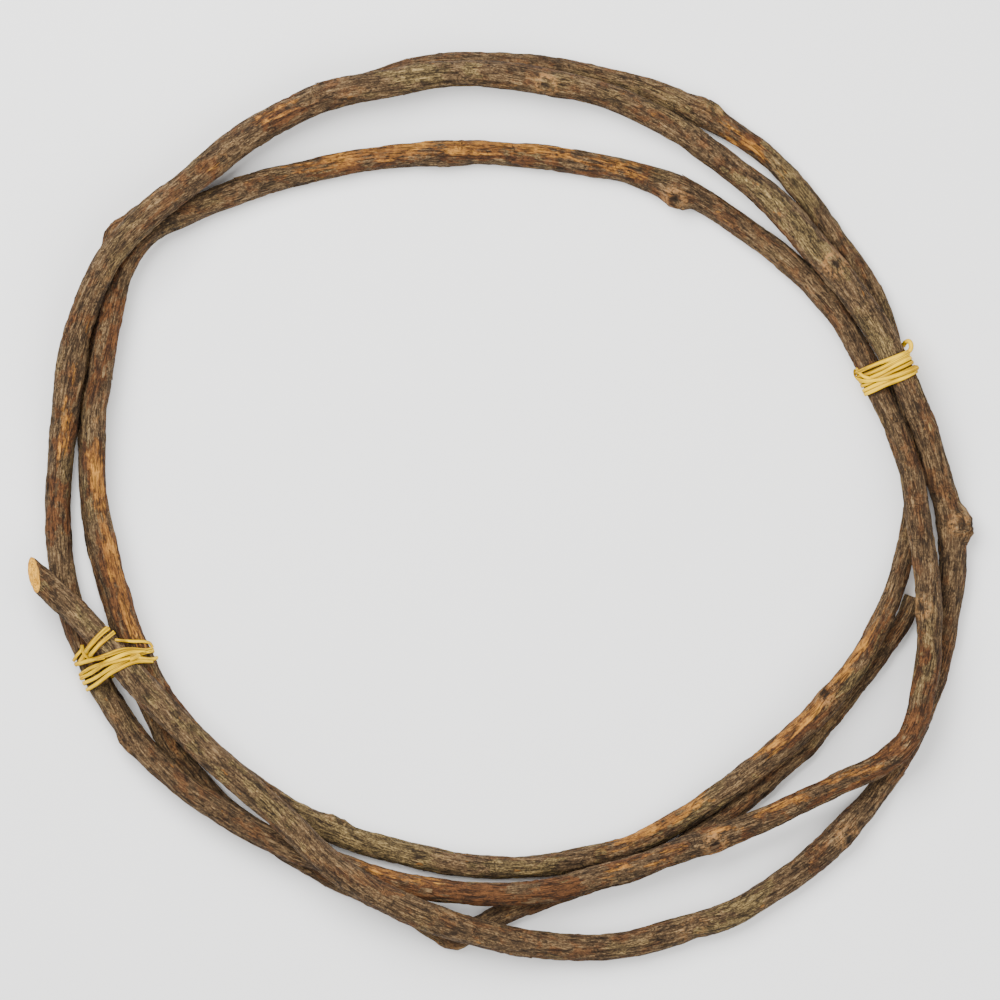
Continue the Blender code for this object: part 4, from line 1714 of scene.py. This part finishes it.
def softened(values: np.ndarray, weights: np.ndarray) -> np.ndarray:
    """Smooth a row of numbers.

    Args:
        values: the numbers.
        weights: an odd count of weights, centred on each number.

    Returns:
        As many smoothed numbers.
    """
    padded = np.pad(values, len(weights) // 2, mode="edge")
    return np.convolve(padded, weights / weights.sum(), mode="valid")


def joined(name: str, pieces: list[bpy.types.Object]) -> bpy.types.Object:
    """Join meshes into one object.

    Args:
        name: the new object's name.
        pieces: the objects to join, which are removed.

    Returns:
        The joined object.
    """
    work = bmesh.new()
    for piece in pieces:
        work.from_mesh(piece.data)
    mesh = mesh_of(work, name)
    mesh.materials.append(pieces[0].data.materials[0])
    for piece in pieces:
        bpy.data.objects.remove(piece)
    return linked(name, mesh)


RIGHT_PASSES = (
    Pass((9.5, 9.8, 11.6, 12.0, 11.4), 0.0),
    Pass((7.5, 6.9, 5.6, 6.5, 8.0), 0.0),
    Pass((3.2, 3.0, 1.3, 1.5, 3.0), 0.0),
    Pass((-1.4, -1.9, -2.2, -2.6, -1.8), 0.0),
    Pass((-7.2, -6.8, -6.8, -7.0, -7.6), 0.0),
    Pass((-10.9, -12.3, -10.9, -11.2, -11.0), 0.0),
    Pass((-8.5, -8.1, -5.5, 0.5, 16.0), 1.0),
)
RIGHT_TAILS = (
    Tail(
        places=(
            (903.5, 346, -9.0), (905, 342.8, 2.0), (908, 341.3, 6.0),
            (910.2, 344, 8.0), (910.2, 349, 8.5), (907, 353, 9.0),
        ),
        width=0.0014,
    ),
    Tail(
        places=(
            (857, 368, -3.0), (859, 372.5, 0.4), (863, 376.5, 1.6),
            (870, 379, 2.2),
        ),
        width=0.0012,
    ),
)
LEFT_PASSES = (
    Pass((-10.6, -9.4, -8.0, -7.2, 3.0), 0.0),
    Pass((1.1, -1.8, -2.0, -2.6, 4.5), 0.0),
    Pass((4.7, 3.2, 0.0, 3.0, 13.0), 0.3),
    Pass((10.2, 9.4, 5.9, 3.0, 3.2), 0.0),
    Pass((18.0, 15.0, 10.0, 7.5, 14.7), 0.0),
)
LEFT_TAILS = (
    Tail(
        places=(
            (80, 662, 1.8), (84, 656, 1.2), (89, 649, 0.9),
            (98, 638.5, 0.9), (105, 631.5, 0.9), (110.5, 627, 1.0),
        ),
        width=0.0016,
    ),
    Tail(
        places=(
            (88, 660, 1.8), (92, 654.5, 1.4), (96, 650, 1.2),
            (102, 643.5, 1.2), (109, 637.5, 1.2), (116, 631.5, 1.3),
        ),
        width=0.0014,
    ),
    Tail(
        places=(
            (73, 661, -2.0), (77, 655.5, 0.6), (81.5, 650, 1.0),
            (82.3, 645, 1.2),
        ),
        width=0.0011,
    ),
    Tail(
        places=(
            (82.3, 645, 1.2), (83.2, 651, 1.6), (87, 656.5, 2.2),
            (96, 658.5, 2.6), (107, 656.5, 2.0),
        ),
        width=0.0012,
    ),
    Tail(
        places=(
            (117, 639, 0.6), (124, 640, 1.2), (133, 641, 1.0),
            (143, 641.0, 0.8), (150, 642.5, 0.4), (153, 647, -1.5),
        ),
        width=0.0010,
    ),
    Tail(
        places=(
            (132, 659, 1.6), (138, 656, 2.0), (143, 652.5, 1.6),
            (146.5, 649.8, 1.2),
        ),
        width=0.0012,
    ),
)


@dataclass(frozen=True)
class Studio:
    """The pale floor, the soft lights and the camera over the coil."""

    floor_half: float = 3.0
    camera_height: float = 5.0
    frame_width: float = 0.640
    look_height: float = 0.020
    sensor: float = 36.0
    picture_middle: tuple[float, float] = (500.0, 500.0)
    world_colour: Colour = (1.0, 0.99, 0.975, 1.0)
    world_strength: float = 0.62
    key_place: tuple[float, float, float] = (-0.7, 0.9, 1.9)
    key_size: float = 1.6
    key_power: float = 105.0
    fill_place: tuple[float, float, float] = (0.9, -0.6, 1.7)
    fill_size: float = 2.0
    fill_power: float = 40.0

    def build(self, floor_material: bpy.types.Material) -> None:
        """Set the floor, lights and camera.

        Args:
            floor_material: the floor's material.
        """
        self.lay_floor(floor_material)
        self.light("key_light", self.key_place, self.key_size, self.key_power)
        self.light("fill_light", self.fill_place, self.fill_size, self.fill_power)
        self.set_world()
        self.aim_camera()

    def lay_floor(self, material: bpy.types.Material) -> None:
        """Lay the floor under the coil.

        Args:
            material: its material.
        """
        work = bmesh.new()
        bmesh.ops.create_grid(work, x_segments=1, y_segments=1, size=self.floor_half)
        mesh = mesh_of(work, "floor")
        mesh.materials.append(material)
        linked("floor", mesh)

    @staticmethod
    def light(name: str, place: tuple[float, float, float], size: float, power: float) -> None:
        """Hang a square soft light that faces the coil.

        Args:
            name: its name.
            place: where its middle is.
            size: the length of its side.
            power: its power in watts.
        """
        data = bpy.data.lights.new(name, "AREA")
        data.size = size
        data.energy = power
        lamp = linked(name, data)
        lamp.location = place
        lamp.rotation_euler = (-Vector(place)).to_track_quat("-Z", "Y").to_euler()

    def set_world(self) -> None:
        """Light the whole room evenly."""
        world = bpy.data.worlds.new("studio")
        world.use_nodes = True
        background = world.node_tree.nodes["Background"]
        background.inputs["Color"].default_value = self.world_colour
        background.inputs["Strength"].default_value = self.world_strength
        bpy.context.scene.world = world

    def aim_camera(self) -> None:
        """Look straight down on the coil from far away."""
        data = bpy.data.cameras.new("camera")
        data.sensor_width = self.sensor
        data.lens = self.sensor * (self.camera_height - self.look_height) / self.frame_width
        data.clip_end = 50.0
        camera = linked("camera", data)
        aim = GRID.place(*self.picture_middle, 0.0)
        camera.location = (aim[0], aim[1], self.camera_height)
        bpy.context.scene.camera = camera


def report(piece: bpy.types.Object) -> None:
    """Log how many triangles a finished piece has."""
    triangles = sum(len(face.vertices) - 2 for face in piece.data.polygons)
    LOG.info("%s: %d triangles", piece.name, triangles)


def main() -> None:
    """Build the coil's pieces in order, then the studio."""
    logging.basicConfig(level=logging.INFO, format="%(name)s %(message)s")
    route = CaneRoute()
    sweep = SweepTree()
    raffia = RaffiaFinish().make()

    cane = VineCane(route).build(sweep, BarkFinish().make(), SawnFinish().make())
    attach(cane, BODY)
    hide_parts("vine")
    report(cane)

    scales = BarkScales().build(cane, ScaleFinish().make())
    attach(scales, BODY)
    report(scales)

    ties = (
        RaffiaTie(
            name="raffia_left",
            node="raffia_tie_left",
            middle=(116, 660, 25.0),
            bundle_run=(0.36, -0.93, 0.0),
            passes=LEFT_PASSES,
            tails=LEFT_TAILS,
            route=route,
            seed=3,
        ),
        RaffiaTie(
            name="raffia_right",
            node="raffia_tie_right",
            middle=(889, 371, 19.0),
            bundle_run=(-0.42, 0.905, 0.0),
            passes=RIGHT_PASSES,
            tails=RIGHT_TAILS,
            route=route,
            seed=5,
        ),
    )
    for tie in ties:
        piece = tie.build(sweep, raffia)
        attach(piece, BODY)
        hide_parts(tie.node)
        report(piece)

    Studio().build(FloorFinish().make())


if __name__ == "__main__":
    main()
